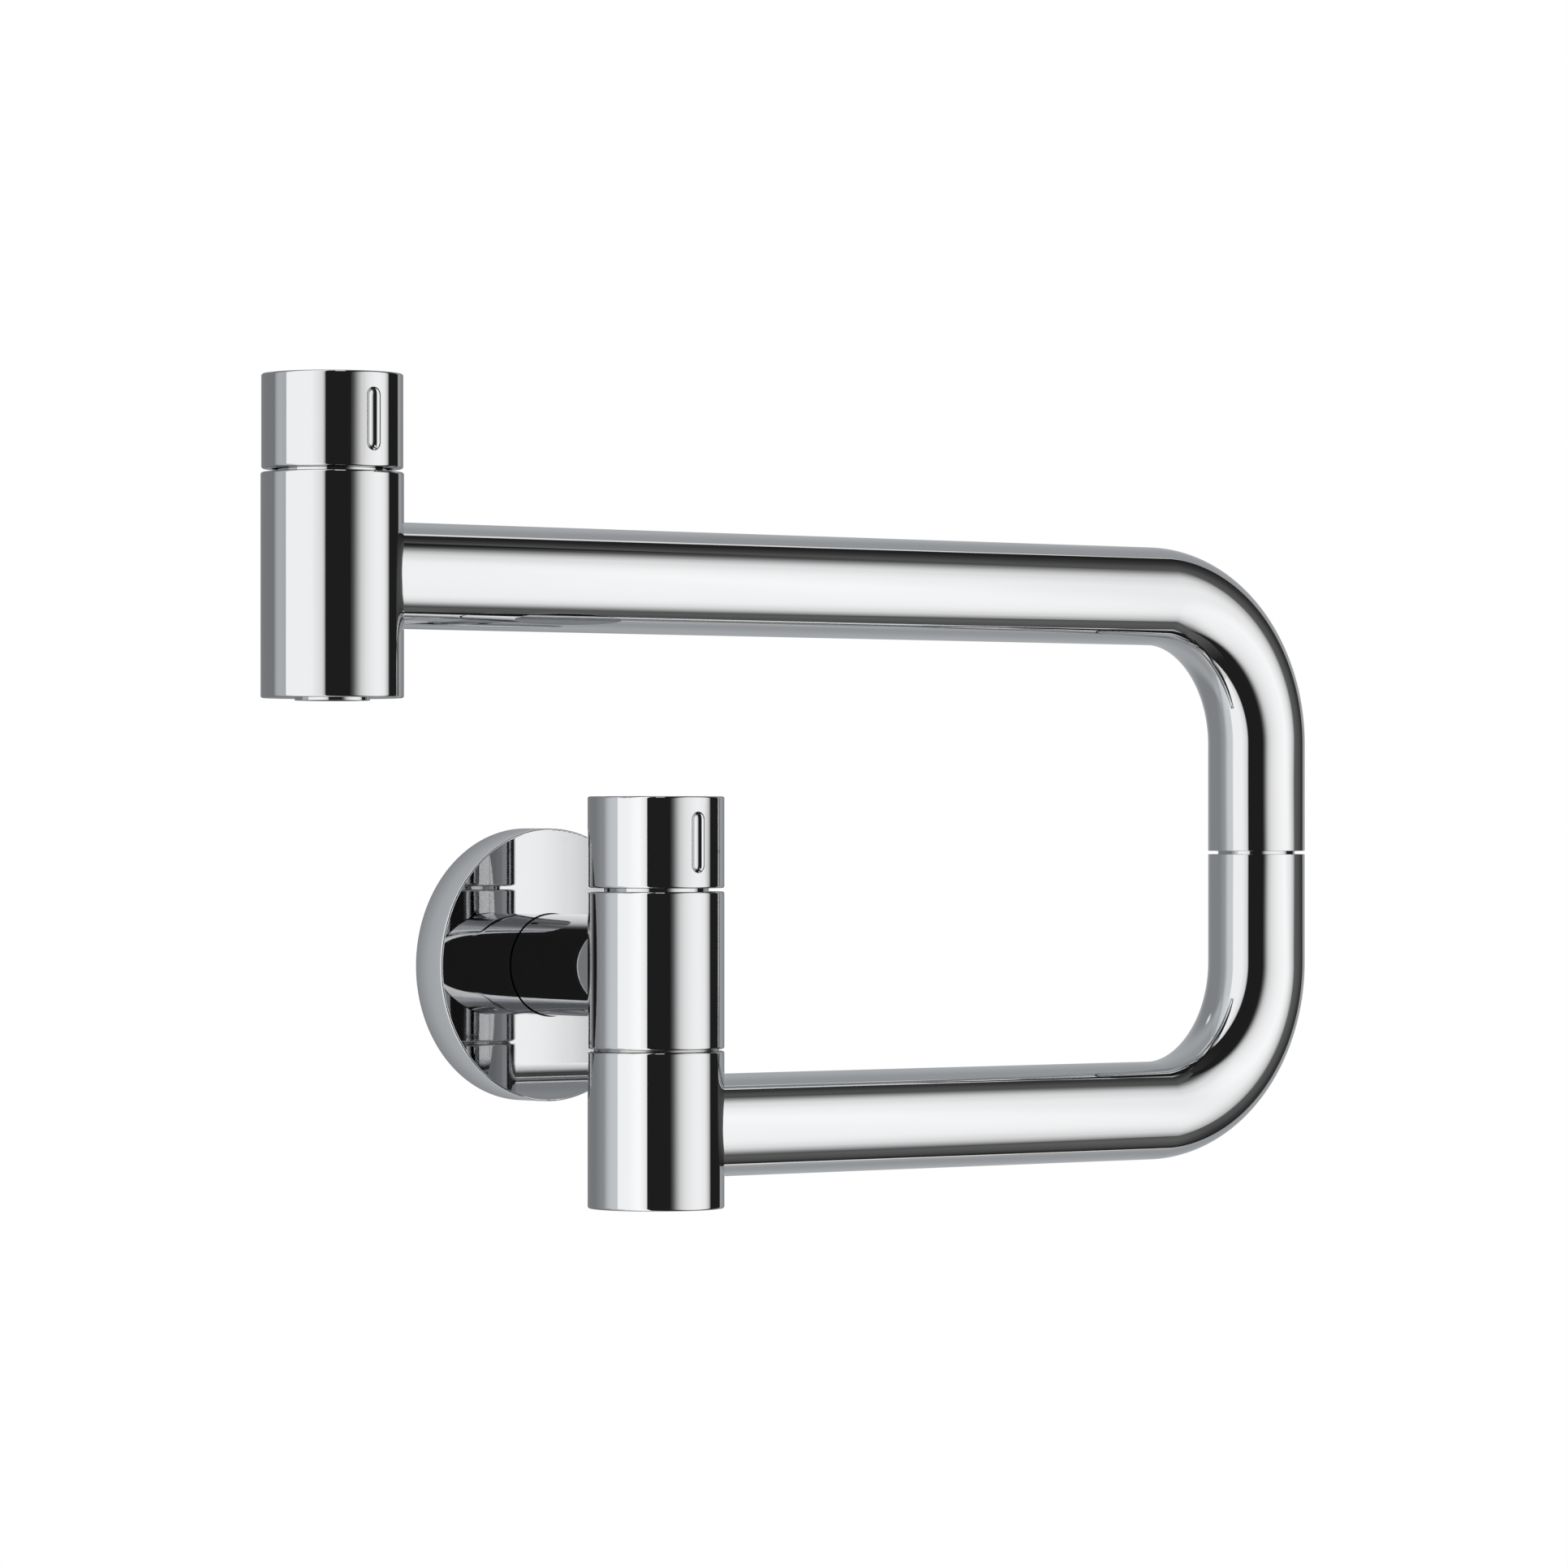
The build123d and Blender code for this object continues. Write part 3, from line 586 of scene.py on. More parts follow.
def upright_card(name, start, end, low, high, material):
    """An upright card over the line from start to end on the ground plan."""
    corner = Vector((start[0], start[1], low))
    along = Vector((end[0] - start[0], end[1] - start[1], 0))
    return card(name, corner, along, (0, 0, high - low), material)


def only_for(glowing_card, pieces):
    """Light linking: only these pieces show the card's glow."""
    group = bpy.data.collections.new(glowing_card.name + "_seen_by")
    for piece in pieces:
        group.objects.link(piece)
    glowing_card.light_linking.receiver_collection = group


# %% [markdown]
# Cloth and paper glow with a set level, so the bands in the chrome can be tuned one by one. Chrome keeps a
# third of the light for itself, so the cards are lit brighter than the white background. A haze is a
# see-through glow, and light linking keeps it for the pieces that should show it, the way a photographer
# lights one piece at a time.

# %% Helpers for their glow
card_strength = 1.27
neutral = (1.0, 1.0, 1.0)
cool = (0.969, 1.0, 1.037)


def glowing(name):
    """A material with one Emission shader, for cards that show a set level."""
    material = bpy.data.materials.new(name)
    material.use_nodes = True
    tree = material.node_tree
    tree.nodes.clear()
    glow = add_node(tree, "ShaderNodeEmission", {"Strength": card_strength})
    add_node(tree, "ShaderNodeOutputMaterial", {"Surface": glow.outputs["Emission"]})
    return material, tree, glow


def haze(name):
    """A glow on top of whatever is behind it: an Add Shader keeps the card see-through."""
    material, tree, glow = glowing(name)
    clear = add_node(tree, "ShaderNodeBsdfTransparent")
    both = add_node(
        tree, "ShaderNodeAddShader", {0: clear.outputs["BSDF"], 1: glow.outputs["Emission"]}
    )
    tree.links.new(both.outputs["Shader"], tree.nodes["Material Output"].inputs["Surface"])
    return material, tree, glow


def plain_level(name, level):
    """Cloth or paper of one even level."""
    material, tree, glow = glowing(name)
    glow.inputs["Color"].default_value = (level, level, level, 1.0)
    return material


# %% [markdown]
# Most cards fade from one end to the other. A fade is a colour ramp through a few stops, each a place in
# metres and a level, so the stops can be read off like marks on a ruler.

# %% Helpers for fades


def fade(tree, value, stops, cast=neutral):
    """A smooth run through stops, each a place in metres and a level, with a colour cast."""
    spread = add_node(
        tree,
        "ShaderNodeMapRange",
        {"Value": value, "From Min": stops[0][0], "From Max": stops[-1][0]},
    )
    ramp = add_node(tree, "ShaderNodeValToRGB", {"Fac": spread.outputs["Result"]})
    ramp.color_ramp.interpolation = "CARDINAL"
    while len(ramp.color_ramp.elements) < len(stops):
        ramp.color_ramp.elements.new(1.0)
    length = stops[-1][0] - stops[0][0]
    for element, (place, level) in zip(ramp.color_ramp.elements, stops):
        element.position = (place - stops[0][0]) / length
        element.color = (level * cast[0], level * cast[1], level * cast[2], 1.0)
    return ramp.outputs["Color"]


def fading(make, name, axis, stops, cast=neutral):
    """A material, made by glowing or haze, whose level fades along one axis of the room."""
    material, tree, glow = make(name)
    place = add_node(tree, "ShaderNodeTexCoord").outputs["Object"]
    along = add_node(tree, "ShaderNodeSeparateXYZ", {"Vector": place}).outputs[axis]
    tree.links.new(fade(tree, along, stops, cast), glow.inputs["Color"])
    return material


# %% [markdown]
# ## The softbox and its black corner
#
# The softbox is a sheet of white cloth lit from behind, brightest in its middle. Its left edge fades over
# half a metre, which gives the columns their soft shoulder beside the black stripe. The stripe is the gap
# for the lens, between the softbox and the white paper on the left, and its other side is much sharper.
#
# The level of the cloth is the product of four fades, one for each edge. The left edge bows, the right one
# leans outwards above and below, and the upper and lower ones close in towards the right.

# %% Choose the levels of the cloth
cloth_black = 0.0143
left_bow = -0.5
right_slope = -0.3
droop_slope = 0.55
left_stops = (
    (-0.15, 0.015),
    (-0.112, 0.02),
    (0.015, 0.20),
    (0.134, 0.57),
    (0.249, 0.79),
    (0.366, 0.90),
    (0.489, 0.965),
    (0.65, 1.0),
)
right_stops = (
    (0.65, 1.0),
    (0.78, 0.97),
    (0.97, 0.87),
    (1.18, 0.54),
    (1.26, 0.3),
    (1.33, 0.05),
)
upper_stops = (
    (0.25, 1.0),
    (0.35, 0.96),
    (0.48, 0.88),
    (0.675, 0.77),
    (0.925, 0.46),
    (1.265, 0.14),
    (1.5, 0.08),
    (1.7, 0.03),
)
lower_stops = (
    (0.35, 1.0),
    (0.5, 0.96),
    (0.61, 0.9),
    (0.86, 0.74),
    (1.2, 0.4),
    (1.45, 0.2),
    (1.73, 0.12),
)
print("cloth levels from", cloth_black, "to", left_stops[-1][1])

# %% [markdown]
# Places on the cloth are measured along it and upwards, so the shader first works out both. It then bends
# or leans them for each edge, fades each one, and multiplies the four fades.

# %% Light the softbox's cloth
box_corner = (-250 * mm, -946.1 * mm)
box_start = (-125 * mm, -915 * mm)
box_end = (1200 * mm, -585 * mm)
cloth, tree, glow = glowing("softbox_cloth_backlit")
box_along = Vector((box_end[0] - box_start[0], box_end[1] - box_start[1], 0)).normalized()
box_zero = Vector((*box_start, 0)).dot(box_along)
place = add_node(tree, "ShaderNodeTexCoord").outputs["Object"]
across = add_node(tree, "ShaderNodeVectorMath", {0: place, 1: box_along}, operation="DOT_PRODUCT")
across = add_node(
    tree, "ShaderNodeMath", {0: across.outputs["Value"], 1: box_zero}, operation="SUBTRACT"
).outputs["Value"]
height = add_node(tree, "ShaderNodeSeparateXYZ", {"Vector": place}).outputs["Z"]
tallness = add_node(tree, "ShaderNodeMath", {0: height}, operation="ABSOLUTE").outputs["Value"]
squared = add_node(tree, "ShaderNodeMath", {0: height, 1: height}, operation="MULTIPLY").outputs["Value"]
left = add_node(
    tree, "ShaderNodeMath", {0: squared, 1: left_bow, 2: across}, operation="MULTIPLY_ADD"
).outputs["Value"]
right = add_node(
    tree, "ShaderNodeMath", {0: tallness, 1: right_slope, 2: across}, operation="MULTIPLY_ADD"
).outputs["Value"]
droop = add_node(
    tree, "ShaderNodeMath", {0: across, 1: droop_slope, 2: -droop_slope}, operation="MULTIPLY_ADD"
).outputs["Value"]
upper = add_node(tree, "ShaderNodeMath", {0: droop, 1: height}, operation="ADD").outputs["Value"]
lower = add_node(tree, "ShaderNodeMath", {0: droop, 1: height}, operation="SUBTRACT").outputs["Value"]
level = fade(tree, left, left_stops)
for edge, stops in ((right, right_stops), (upper, upper_stops), (lower, lower_stops)):
    level = add_node(
        tree,
        "ShaderNodeVectorMath",
        {0: level, 1: fade(tree, edge, stops)},
        operation="MULTIPLY",
    ).outputs["Vector"]
level = add_node(
    tree,
    "ShaderNodeVectorMath",
    {0: level, 1: (cloth_black, cloth_black, cloth_black)},
    operation="MAXIMUM",
).outputs["Vector"]
tree.links.new(level, glow.inputs["Color"])
print("cloth with", len(tree.nodes), "nodes")

# %% [markdown]
# The cards reach from just over the floor to well above the tap. From the left they are the edge of the
# white paper, the gap for the lens, the softbox, and black cloth along the right side.

# %% Hang the softbox and the cloth beside it
room_low = -1620 * mm
room_high = 1900 * mm
gap_corner = (-565 * mm, -488 * mm)
paper_edge_end = (-642 * mm, -349 * mm)
side_back = 114 * mm
edge_stops = (
    (gap_corner[1], 0.3),
    (-0.465, 0.55),
    (-0.444, 0.74),
    (-0.414, 0.82),
    (-0.368, 0.885),
    (paper_edge_end[1], 0.91),
)
side_end = (box_end[0], side_back)
black_cloth = plain_level("black_cloth", cloth_black)
edge_paper = fading(glowing, "paper_white_edge", "Y", edge_stops)
for name, start, end, material in (
    ("softbox", box_corner, box_end, cloth),
    ("lens_gap", gap_corner, box_corner, black_cloth),
    ("paper_edge", gap_corner, paper_edge_end, edge_paper),
    ("side_cloth", box_end, side_end, black_cloth),
):
    upright_card(name, start, end, room_low, room_high, material)
print("softbox from", box_corner, "to", box_end)

# %% [markdown]
# The long tubes show a little of the softbox's light that spills on the black cloth at the side, and the
# drums don't. So a faint haze hangs in front of that cloth, for the tubes only.

# %% Let the tubes see the spill
tubes = [lower_tube, upper_tube]
spill_gap = 1 * mm
spill_lean = 0.168
spill_stops = (
    (box_end[1], 0.125),
    (-0.505, 0.1),
    (-0.352, 0.08),
    (-0.212, 0.063),
    (-0.079, 0.034),
    (0.055, 0.018),
    (0.2, 0.003),
)
spill_haze, tree, glow = haze("spill_haze")
place = add_node(tree, "ShaderNodeTexCoord").outputs["Object"]
place = add_node(tree, "ShaderNodeSeparateXYZ", {"Vector": place})
tallness = add_node(
    tree, "ShaderNodeMath", {0: place.outputs["Z"]}, operation="ABSOLUTE"
).outputs["Value"]
depth = add_node(
    tree,
    "ShaderNodeMath",
    {0: tallness, 1: spill_lean, 2: place.outputs["Y"]},
    operation="MULTIPLY_ADD",
).outputs["Value"]
tree.links.new(fade(tree, depth, spill_stops), glow.inputs["Color"])
spill_x = box_end[0] - spill_gap
spill_start = (spill_x, box_end[1])
spill_end = (spill_x, side_back)
spill = upright_card("side_spill", spill_start, spill_end, room_low, room_high, spill_haze)
only_for(spill, tubes)
print("spill at x", spill_x)

# %% [markdown]
# Low down the tubes show more of it. A second haze adds that, and fades out upwards.

# %% Add the low spill
low_spill_top = -700 * mm
low_spill_stops = (
    (box_end[1], 0.0),
    (-0.478, 0.03),
    (-0.296, 0.052),
    (-0.109, 0.042),
    (-0.015, 0.022),
    (0.06, 0.0),
    (side_back, 0.0),
)
low_height_stops = ((-1.1, 1.0), (low_spill_top, 0.0))
low_haze, tree, glow = haze("low_spill_haze")
place = add_node(tree, "ShaderNodeTexCoord").outputs["Object"]
place = add_node(tree, "ShaderNodeSeparateXYZ", {"Vector": place})
level = add_node(
    tree,
    "ShaderNodeVectorMath",
    {
        0: fade(tree, place.outputs["Y"], low_spill_stops),
        1: fade(tree, place.outputs["Z"], low_height_stops),
    },
    operation="MULTIPLY",
)
tree.links.new(level.outputs["Vector"], glow.inputs["Color"])
low_x = spill_x - spill_gap
low_start = (low_x, box_end[1])
low_end = (low_x, side_back)
low_spill = upright_card("low_spill", low_start, low_end, room_low, low_spill_top, low_haze)
only_for(low_spill, tubes)
print("low spill at x", low_x)

# %% [markdown]
# Black cloth closes the corner above and below the softbox. Its edge runs from the lens gap to a point
# under the elbow, so the white paper on the left still shows in the hollow of the bends, and from there
# to the end of the cloth at the side. It is a little lighter at the right, where the softbox is nearer.

# %% Close the corner above and below
elbow_foot = (elbow_middle.x, arm_y)
left_edge = Vector((elbow_foot[0] - gap_corner[0], elbow_foot[1] - gap_corner[1], 0))
right_edge = Vector((side_end[0] - elbow_foot[0], side_end[1] - elbow_foot[1], 0))
left_depth = Vector((620 * mm, -1130 * mm, 0))
right_depth = Vector((0, -1200 * mm, 0))
ceiling_stops = ((-0.2, cloth_black), (0.4, 0.02), (1.2, 0.03))
ground_stops = ((-0.2, cloth_black), (0.1, 0.025), (0.6, 0.07), (1.2, 0.11))
for name, cloth_height, stops in (
    ("ceiling_cloth", room_high, ceiling_stops),
    ("ground_cloth", room_low, ground_stops),
):
    material = fading(glowing, name, "X", stops)
    card(name + "_left", (*gap_corner, cloth_height), left_edge, left_depth, material)
    card(name + "_right", (*elbow_foot, cloth_height), right_edge, right_depth, material)
print("closed the corner at", room_low, room_high)

# %% [markdown]
# ## Paper on the left and behind the tap
#
# White paper closes the room on the left, and a light grey strip stands beside it. With the sheet that
# comes next, the strip gives the edges of the columns and tubes their grey.

# %% Hang the white paper and the strip
white_end = (-900 * mm, 450 * mm)
strip_start = (-307 * mm, 16 * mm)
strip_end = (-510 * mm, 447 * mm)
paper_right = 3500 * mm
paper_high = 2700 * mm
white_stops = ((paper_edge_end[1], 0.91), (-0.29, 0.98), (-0.22, 1.0), (white_end[1], 1.0))
white_paper = fading(glowing, "paper_white", "Y", white_stops)
upright_card("white_paper", paper_edge_end, white_end, room_low, paper_high, white_paper)
strip_stops = (
    (strip_start[1], 0.455),
    (0.062, 0.458),
    (0.138, 0.463),
    (0.286, 0.377),
    (0.4, 0.27),
    (strip_end[1], 0.24),
)
strip_paper = fading(glowing, "paper_light_grey", "Y", strip_stops, cool)
upright_card("paper_strip", strip_start, strip_end, room_low, paper_high, strip_paper)
print("strip from", strip_start, "to", strip_end)

# %% [markdown]
# A wide grey sheet hangs behind, darkest behind the tap, and its foot runs forward over the floor. A small
# lit spot in the sheet shows as a glint in the lower bend.

# %% Hang the grey sheet
paper_middle = (-0.2, strip_end[1], 0.0)
grey_stops = ((0.25, 0.2), (0.75, 0.2), (0.95, 0.235), (1.25, 0.25), (1.7, 0.33), (2.5, 0.33))
spot_middle = (0.015, strip_end[1], 0.458)
spot_stops = ((0.0, 0.95), (0.05, 0.5), (0.1, 0.0))
grey_paper, tree, glow = glowing("paper_grey")
place = add_node(tree, "ShaderNodeTexCoord").outputs["Object"]
away = add_node(
    tree, "ShaderNodeVectorMath", {0: place, 1: paper_middle}, operation="DISTANCE"
).outputs["Value"]
spot = add_node(
    tree, "ShaderNodeVectorMath", {0: place, 1: spot_middle}, operation="DISTANCE"
).outputs["Value"]
level = add_node(
    tree,
    "ShaderNodeVectorMath",
    {0: fade(tree, away, grey_stops, cool), 1: fade(tree, spot, spot_stops)},
    operation="MAXIMUM",
).outputs["Vector"]
tree.links.new(level, glow.inputs["Color"])
paper_right_end = (paper_right, strip_end[1])
upright_card("back_paper", strip_end, paper_right_end, room_low, paper_high, grey_paper)
sweep_front = 246 * mm
sweep_level = 0.38
card(
    "paper_sweep",
    (strip_end[0], sweep_front, room_low),
    (paper_right - strip_end[0], 0, 0),
    (0, strip_end[1] - sweep_front, 0),
    plain_level("paper_sweep", sweep_level),
)
print("paper behind the tap at y", strip_end[1])

# %% [markdown]
# The tubes show more of the wide sheet than the drums do. A haze just in front of the sheet adds that for
# the tubes.

# %% Add the sheet's glow for the tubes
haze_gap = 1 * mm
haze_depth = strip_end[1] - haze_gap
sheet_stops = (
    (0.25, 0.05),
    (0.5, 0.06),
    (0.65, 0.16),
    (0.8, 0.18),
    (0.95, 0.15),
    (1.25, 0.1),
    (1.6, 0.02),
    (1.7, 0.0),
)
sheet_haze, tree, glow = haze("sheet_haze")
place = add_node(tree, "ShaderNodeTexCoord").outputs["Object"]
away = add_node(
    tree, "ShaderNodeVectorMath", {0: place, 1: paper_middle}, operation="DISTANCE"
).outputs["Value"]
tree.links.new(fade(tree, away, sheet_stops, cool), glow.inputs["Color"])
sheet_left = (strip_end[0], haze_depth)
sheet_right = (paper_right, haze_depth)
sheet_glow = upright_card("sheet_glow", sheet_left, sheet_right, room_low, paper_high, sheet_haze)
only_for(sheet_glow, tubes)
print("sheet glow at y", haze_depth)

# %% [markdown]
# The tubes and the valve's drums show more of the strip than the spout's drums do, each by its own measure.
# So two hazes hang in front of it.

# %% Add the strip's glow
valve_drums = [nodes["valve_handle"], nodes["valve_body"], nodes["swivel_sleeve"]]
drum_strip_stops = (
    (strip_start[1], 0.17),
    (0.1, 0.145),
    (0.17, 0.12),
    (0.233, 0.1),
    (0.311, 0.09),
    (strip_end[1], 0.08),
)
tube_strip_stops = (
    (strip_start[1], 0.31),
    (0.1, 0.25),
    (0.17, 0.22),
    (0.233, 0.2),
    (0.311, 0.16),
    (strip_end[1], 0.1),
)
for name, gap, stops, pieces in (
    ("drum_strip", haze_gap, drum_strip_stops, valve_drums),
    ("tube_strip", 2 * haze_gap, tube_strip_stops, tubes),
):
    strip_haze = fading(haze, name + "_haze", "Y", stops, cool)
    strip_near = (strip_start[0] + gap, strip_start[1])
    strip_far = (strip_end[0] + gap, strip_end[1])
    strip_glow = upright_card(name + "_glow", strip_near, strip_far, room_low, paper_high, strip_haze)
    only_for(strip_glow, pieces)
    print(strip_glow.name, "for", len(pieces), "pieces")

# %% [markdown]
# They also show more of the sheet's corner beside the strip, and the valve's drums show more of the white
# paper, most of all next to the lens gap.

# %% Add the glow of the corner and of the white paper
corner_stops = ((strip_end[0], 0.1), (-0.458, 0.09), (-0.346, 0.06), (-0.254, 0.03), (-0.15, 0.0))
corner_haze = fading(haze, "corner_haze", "X", corner_stops, cool)
corner_left = (strip_end[0], haze_depth - haze_gap)
corner_right = (corner_stops[-1][0], haze_depth - haze_gap)
corner_glow = upright_card("corner_glow", corner_left, corner_right, room_low, paper_high, corner_haze)
only_for(corner_glow, tubes + valve_drums)

drum_far_x = -795 * mm
drum_stops = (
    (gap_corner[1], 0.54),
    (-0.465, 0.36),
    (-0.444, 0.23),
    (-0.414, 0.19),
    (-0.368, 0.185),
    (-0.335, 0.2),
    (-0.29, 0.13),
    (-0.24, 0.09),
    (-0.146, 0.04),
    (-0.046, 0.02),
    (0.06, 0.01),
    (0.2, 0.0),
)
drum_haze = fading(haze, "drum_haze", "Y", drum_stops)
drum_near = (gap_corner[0] + haze_gap, gap_corner[1])
drum_far = (drum_far_x, drum_stops[-1][0])
drum_glow = upright_card("drum_glow", drum_near, drum_far, room_low, paper_high, drum_haze)
only_for(drum_glow, valve_drums)
print("corner glow for", len(tubes + valve_drums), "pieces, drum glow for", len(valve_drums))

# %% [markdown]
# The face of the rosette darkens towards the column: painted shade. A see-through grey card in front of the
# softbox paints it, just where the rosette sees it. For the other pieces the card glows by as much as it
# takes away.

# %% Shade the rosette's face
shade_card_gap = 5 * mm
shade_card_low = -110 * mm
shade_card_high = 80 * mm
rosette_shade_stops = (
    (0.5375, 1.0),
    (0.5485, 0.98),
    (0.5545, 0.945),
    (0.5615, 0.855),
    (0.5675, 0.795),
    (0.5725, 0.705),
    (0.5795, 0.65),
    (0.6175, 1.0),
)


def before_softbox(x, gap):
    """The place on the ground plan, a gap in front of the softbox."""
    share = (x - box_corner[0]) / (box_end[0] - box_corner[0])
    return x, box_corner[1] + share * (box_end[1] - box_corner[1]) + gap


# Painted shade on the rosette's face: the see-through grey darkens the softbox behind it.
rosette_shade_material, tree, glow = haze("painted_rosette_shade")
place = add_node(tree, "ShaderNodeTexCoord").outputs["Object"]
along = add_node(tree, "ShaderNodeSeparateXYZ", {"Vector": place}).outputs["X"]
shade = fade(tree, along, rosette_shade_stops)
tree.links.new(shade, tree.nodes["Transparent BSDF"].inputs["Color"])
taken = add_node(tree, "ShaderNodeVectorMath", {0: (1, 1, 1), 1: shade}, operation="SUBTRACT")
tree.links.new(taken.outputs["Vector"], glow.inputs["Color"])
shade_card_left = before_softbox(rosette_shade_stops[0][0], shade_card_gap)
shade_card_right = before_softbox(rosette_shade_stops[-1][0], shade_card_gap)
shade_card = upright_card("painted_shade_card", shade_card_left, shade_card_right, shade_card_low, shade_card_high, rosette_shade_material)
only_for(shade_card, [piece for name, piece in nodes.items() if name != "rosette"] + tubes)
print("net from", shade_card_left, "to", shade_card_right)

# %% [markdown]
# The straight arms have a hot line where the lamp behind the softbox's cloth shows through. It leans a
# little, so it peaks further right on the lower arm than on the upper one.

# %% Let the lamp show through the cloth
hot_gap = 10 * mm
hot_from = 150 * mm
hot_to = 1100 * mm
hot_lean = 0.4
hot_stops = (
    (0.2, 0.0),
    (0.36, 0.02),
    (0.45, 0.04),
    (0.55, 0.06),
    (0.62, 0.095),
    (0.7, 0.075),
    (0.78, 0.02),
    (0.86, 0.0),
)
hot_height_stops = ((-0.6, 0.0), (-0.3, 0.7), (-0.02, 1.0), (0.25, 0.75), (0.45, 0.3), (0.65, 0.0))
hot_haze, tree, glow = haze("hot_haze")
place = add_node(tree, "ShaderNodeTexCoord").outputs["Object"]
place = add_node(tree, "ShaderNodeSeparateXYZ", {"Vector": place})
along = add_node(
    tree,
    "ShaderNodeMath",
    {0: place.outputs["Z"], 1: hot_lean, 2: place.outputs["X"]},
    operation="MULTIPLY_ADD",
).outputs["Value"]
level = add_node(
    tree,
    "ShaderNodeVectorMath",
    {0: fade(tree, along, hot_stops), 1: fade(tree, place.outputs["Z"], hot_height_stops)},
    operation="MULTIPLY",
)
tree.links.new(level.outputs["Vector"], glow.inputs["Color"])
hot_left = before_softbox(hot_from, hot_gap)
hot_right = before_softbox(hot_to, hot_gap)
hot_low = hot_height_stops[0][0]
hot_high = hot_height_stops[-1][0]
hot_glow = upright_card("hot_glow", hot_left, hot_right, hot_low, hot_high, hot_haze)
only_for(hot_glow, tubes)
print("hot line from", hot_low, "to", hot_high)

# %% [markdown]
# ## Lights for single pieces
#
# The rim of the rosette looks along the wall, so a pale haze where the wall would be gives it its grey: a
# painted reflection of the wall, with painted shade where it meets the rosette and lighter further out. A
# strip above the camera puts a short white dash on the top edge of each drum.

# %% Light the rim and the drums' edges
plate_half = 90 * mm
plate_gap = 1 * mm
# Painted shade: the wall's glow is darkest where it meets the rosette's rim and lighter further out.
wall_shade_stops = ((0.0402, 0.06), (0.045, 0.2), (0.053, 0.28), (0.09, 0.3))
wall_reflection_haze, tree, glow = haze("painted_wall_reflection")
place = add_node(tree, "ShaderNodeTexCoord").outputs["Object"]
away = add_node(tree, "ShaderNodeVectorMath", {0: place}, operation="LENGTH").outputs["Value"]
tree.links.new(fade(tree, away, wall_shade_stops, cool), glow.inputs["Color"])
plate_left = (-plate_half, plate_gap)
plate_right = (plate_half, plate_gap)
plate = upright_card("wall_plate", plate_left, plate_right, -plate_half, plate_half, wall_reflection_haze)
only_for(plate, [nodes["rosette"]])

dash_corner = (-224 * mm, -331 * mm, 1326 * mm)
dash_length = (-217 * mm, -275 * mm, -472 * mm)
dash_width = (181 * mm, -148 * mm, 0)
dash_haze, tree, glow = haze("dash_haze")
dash_strip = card("dash_strip", dash_corner, dash_length, dash_width, dash_haze)
only_for(dash_strip, valve_drums + [nodes["spout_handle"], nodes["spout_body"]])
print("wall haze", plate_half * 2, "wide, dash strip", Vector(dash_length).length, "long")

# %% [markdown]
# A white flag hides the columns from the bent tubes. It shows its front to the elbow, while from behind it
# is see-through: the Backfacing output of the Geometry node tells the two sides apart.

# %% Hide the columns from the elbow
flag_x = 60 * mm
wall_clearance = 2 * mm
flag_reach = 22 * mm
flag_start = (flag_x, -wall_clearance)
flag_end = (flag_x, arm_y - flag_reach)
flag_low = -28 * mm
flag_high = 93 * mm
flag_stops = (
    (flag_end[1], 1.0),
    (-0.0375, 1.0),
    (-0.0355, 0.72),
    (flag_start[1], 0.64),
)
flag_cloth, tree, glow = glowing("flag_cloth")
place = add_node(tree, "ShaderNodeTexCoord").outputs["Object"]
depth = add_node(tree, "ShaderNodeSeparateXYZ", {"Vector": place}).outputs["Y"]
tree.links.new(fade(tree, depth, flag_stops), glow.inputs["Color"])
back = add_node(tree, "ShaderNodeNewGeometry").outputs["Backfacing"]
clear = add_node(tree, "ShaderNodeBsdfTransparent")
one_sided = add_node(
    tree,
    "ShaderNodeMixShader",
    {"Fac": back, 1: glow.outputs["Emission"], 2: clear.outputs["BSDF"]},
)
tree.links.new(one_sided.outputs["Shader"], tree.nodes["Material Output"].inputs["Surface"])
flag = upright_card("elbow_flag", flag_start, flag_end, flag_low, flag_high, flag_cloth)
print("flag faces", flag.data.polygons[0].normal)

# %% [markdown]
# ## The key lamp and the floor
#
# One soft lamp at the right lights the matt pieces and leaves the tap's shadow on the floor. Its own shape
# would only be a stray spot in the chrome, so mirrors don't see it.

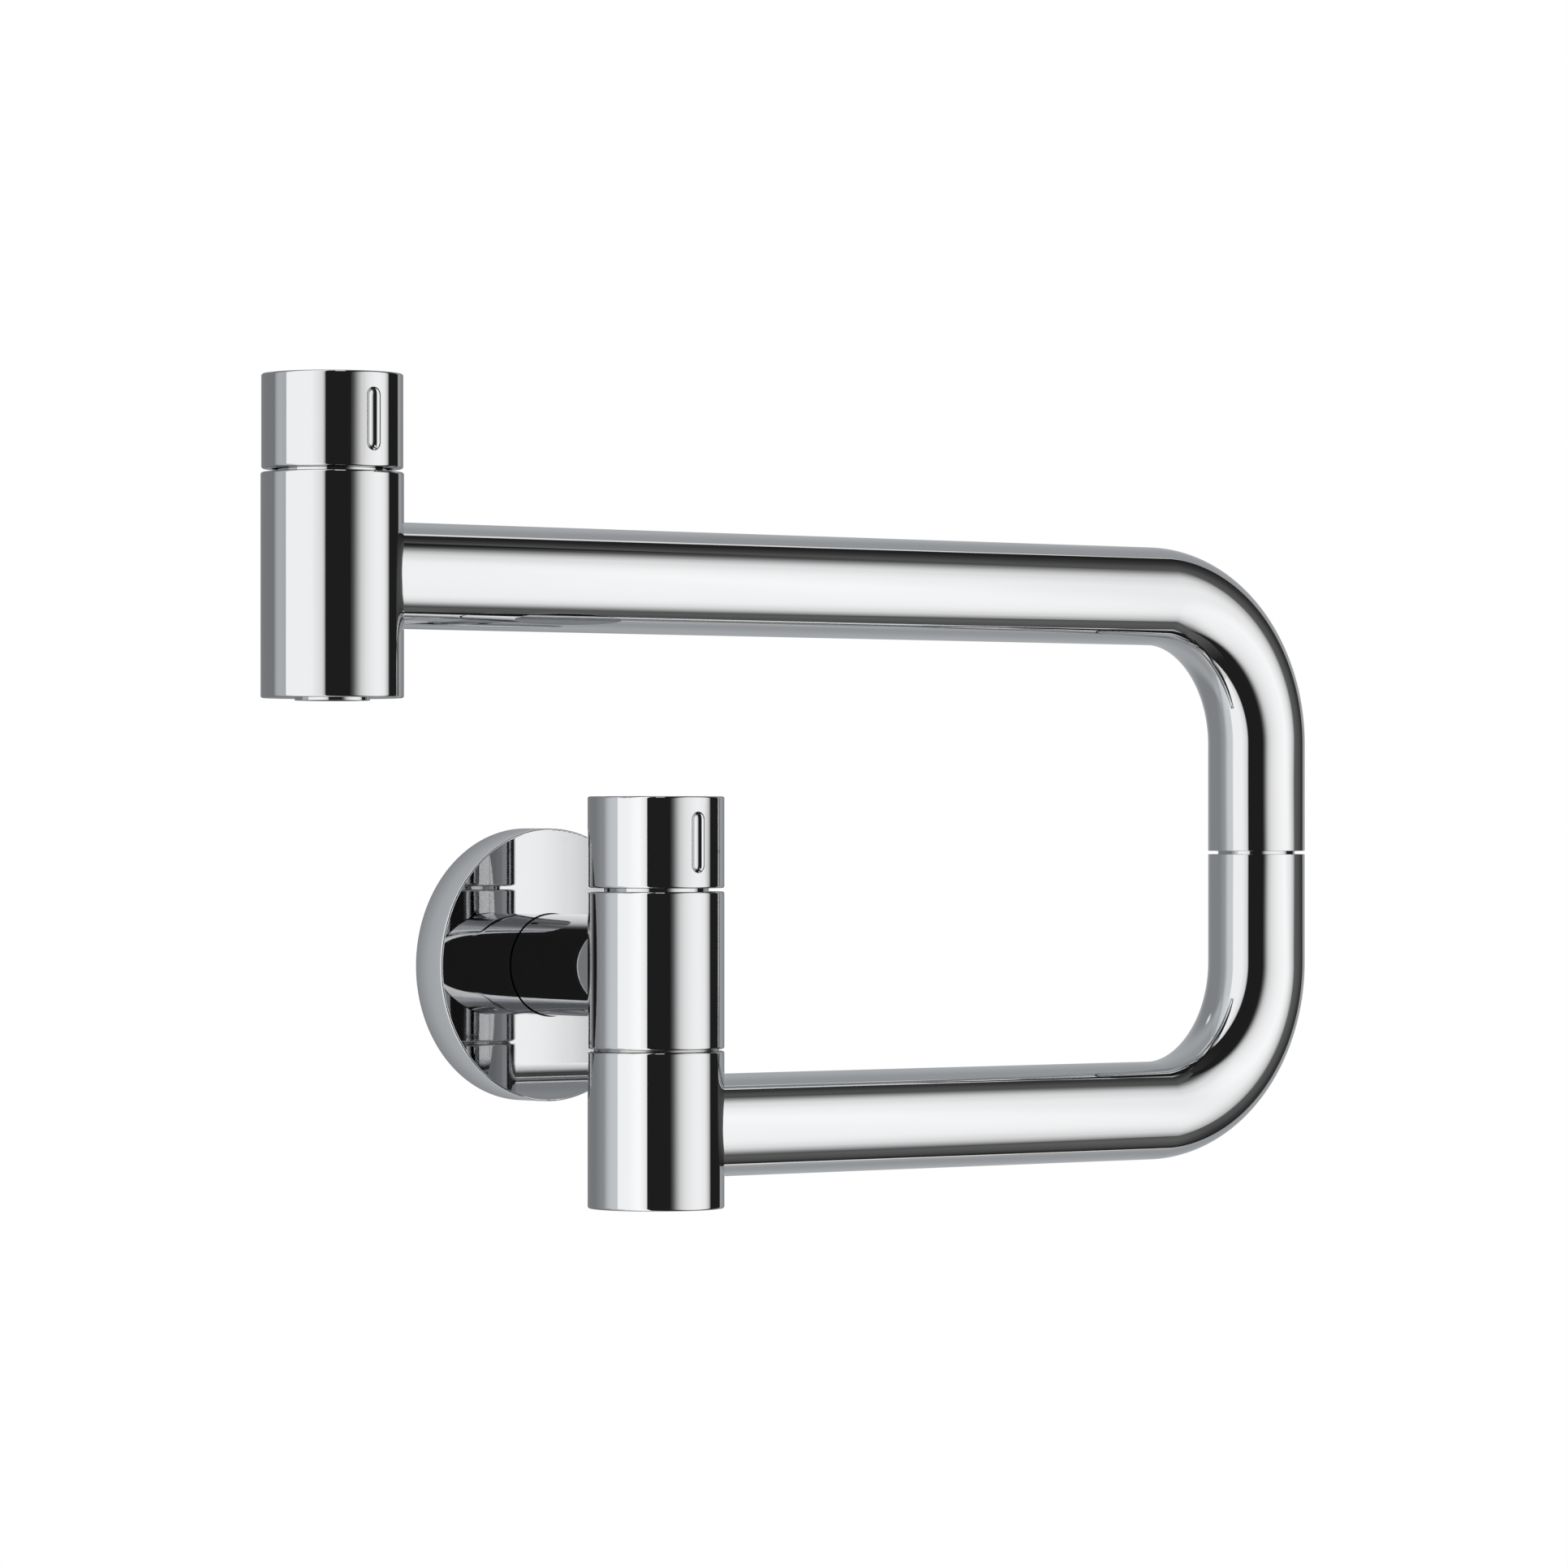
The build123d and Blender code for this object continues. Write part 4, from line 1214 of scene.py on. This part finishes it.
# %% Hang the lamp
lamp_side = 900 * mm
lamp_watts = 28
lamp_place = Vector((1100 * mm, -1100 * mm, 700 * mm))
lamp_data = bpy.data.lights.new("key_lamp", "AREA")
lamp_data.shape = "RECTANGLE"
lamp_data.size = lamp_side
lamp_data.size_y = lamp_side
lamp_data.energy = lamp_watts
lamp = bpy.data.objects.new("key_lamp", lamp_data)
lamp.location = lamp_place
aim = Vector((0, arm_y, 0)) - lamp_place
lamp.rotation_euler = aim.to_track_quat("-Z", "Y").to_euler()
lamp.visible_glossy = False
scene.collection.objects.link(lamp)
print("lamp", aim.length, "from the tap")

# %% [markdown]
# The pale floor lies well below, as under a real kitchen tap. Towards its edge it turns as white as the
# surround, so no edge shows.

# %% Lay the floor
floor_level = -1700 * mm
floor_size = 6000 * mm
white_from = 600 * mm
white_to = 2800 * mm
middle_white = 0.75
floor_paint = bpy.data.materials.new("floor_vinyl_white")
floor_paint.use_nodes = True
tree = floor_paint.node_tree
tree.nodes.clear()
place = add_node(tree, "ShaderNodeTexCoord").outputs["Object"]
flat_place = add_node(
    tree, "ShaderNodeVectorMath", {0: place, 1: (1, 1, 0)}, operation="MULTIPLY"
).outputs["Vector"]
away = add_node(tree, "ShaderNodeVectorMath", {0: flat_place}, operation="LENGTH").outputs["Value"]
whiteness = add_node(
    tree,
    "ShaderNodeMapRange",
    {"Value": away, "From Min": white_from, "From Max": white_to, "To Min": middle_white, "To Max": 1.0},
    interpolation_type="SMOOTHSTEP",
)
share = add_node(
    tree,
    "ShaderNodeMath",
    {0: seen_directly(tree), 1: whiteness.outputs["Result"]},
    operation="MULTIPLY",
)
matt = add_node(tree, "ShaderNodeBsdfDiffuse", {"Color": linear("#E9E9E9")})
glow = add_node(tree, "ShaderNodeEmission", {"Color": linear("#FFFFFF"), "Strength": 1.0})
blend = add_node(
    tree,
    "ShaderNodeMixShader",
    {"Fac": share.outputs["Value"], 1: matt.outputs["BSDF"], 2: glow.outputs["Emission"]},
)
add_node(tree, "ShaderNodeOutputMaterial", {"Surface": blend.outputs["Shader"]})
floor = card(
    "floor",
    (-floor_size / 2, -floor_size / 2, floor_level),
    (floor_size, 0, 0),
    (0, floor_size, 0),
    floor_paint,
)
floor.visible_camera = True
floor.visible_diffuse = True
print("floor at", floor_level)
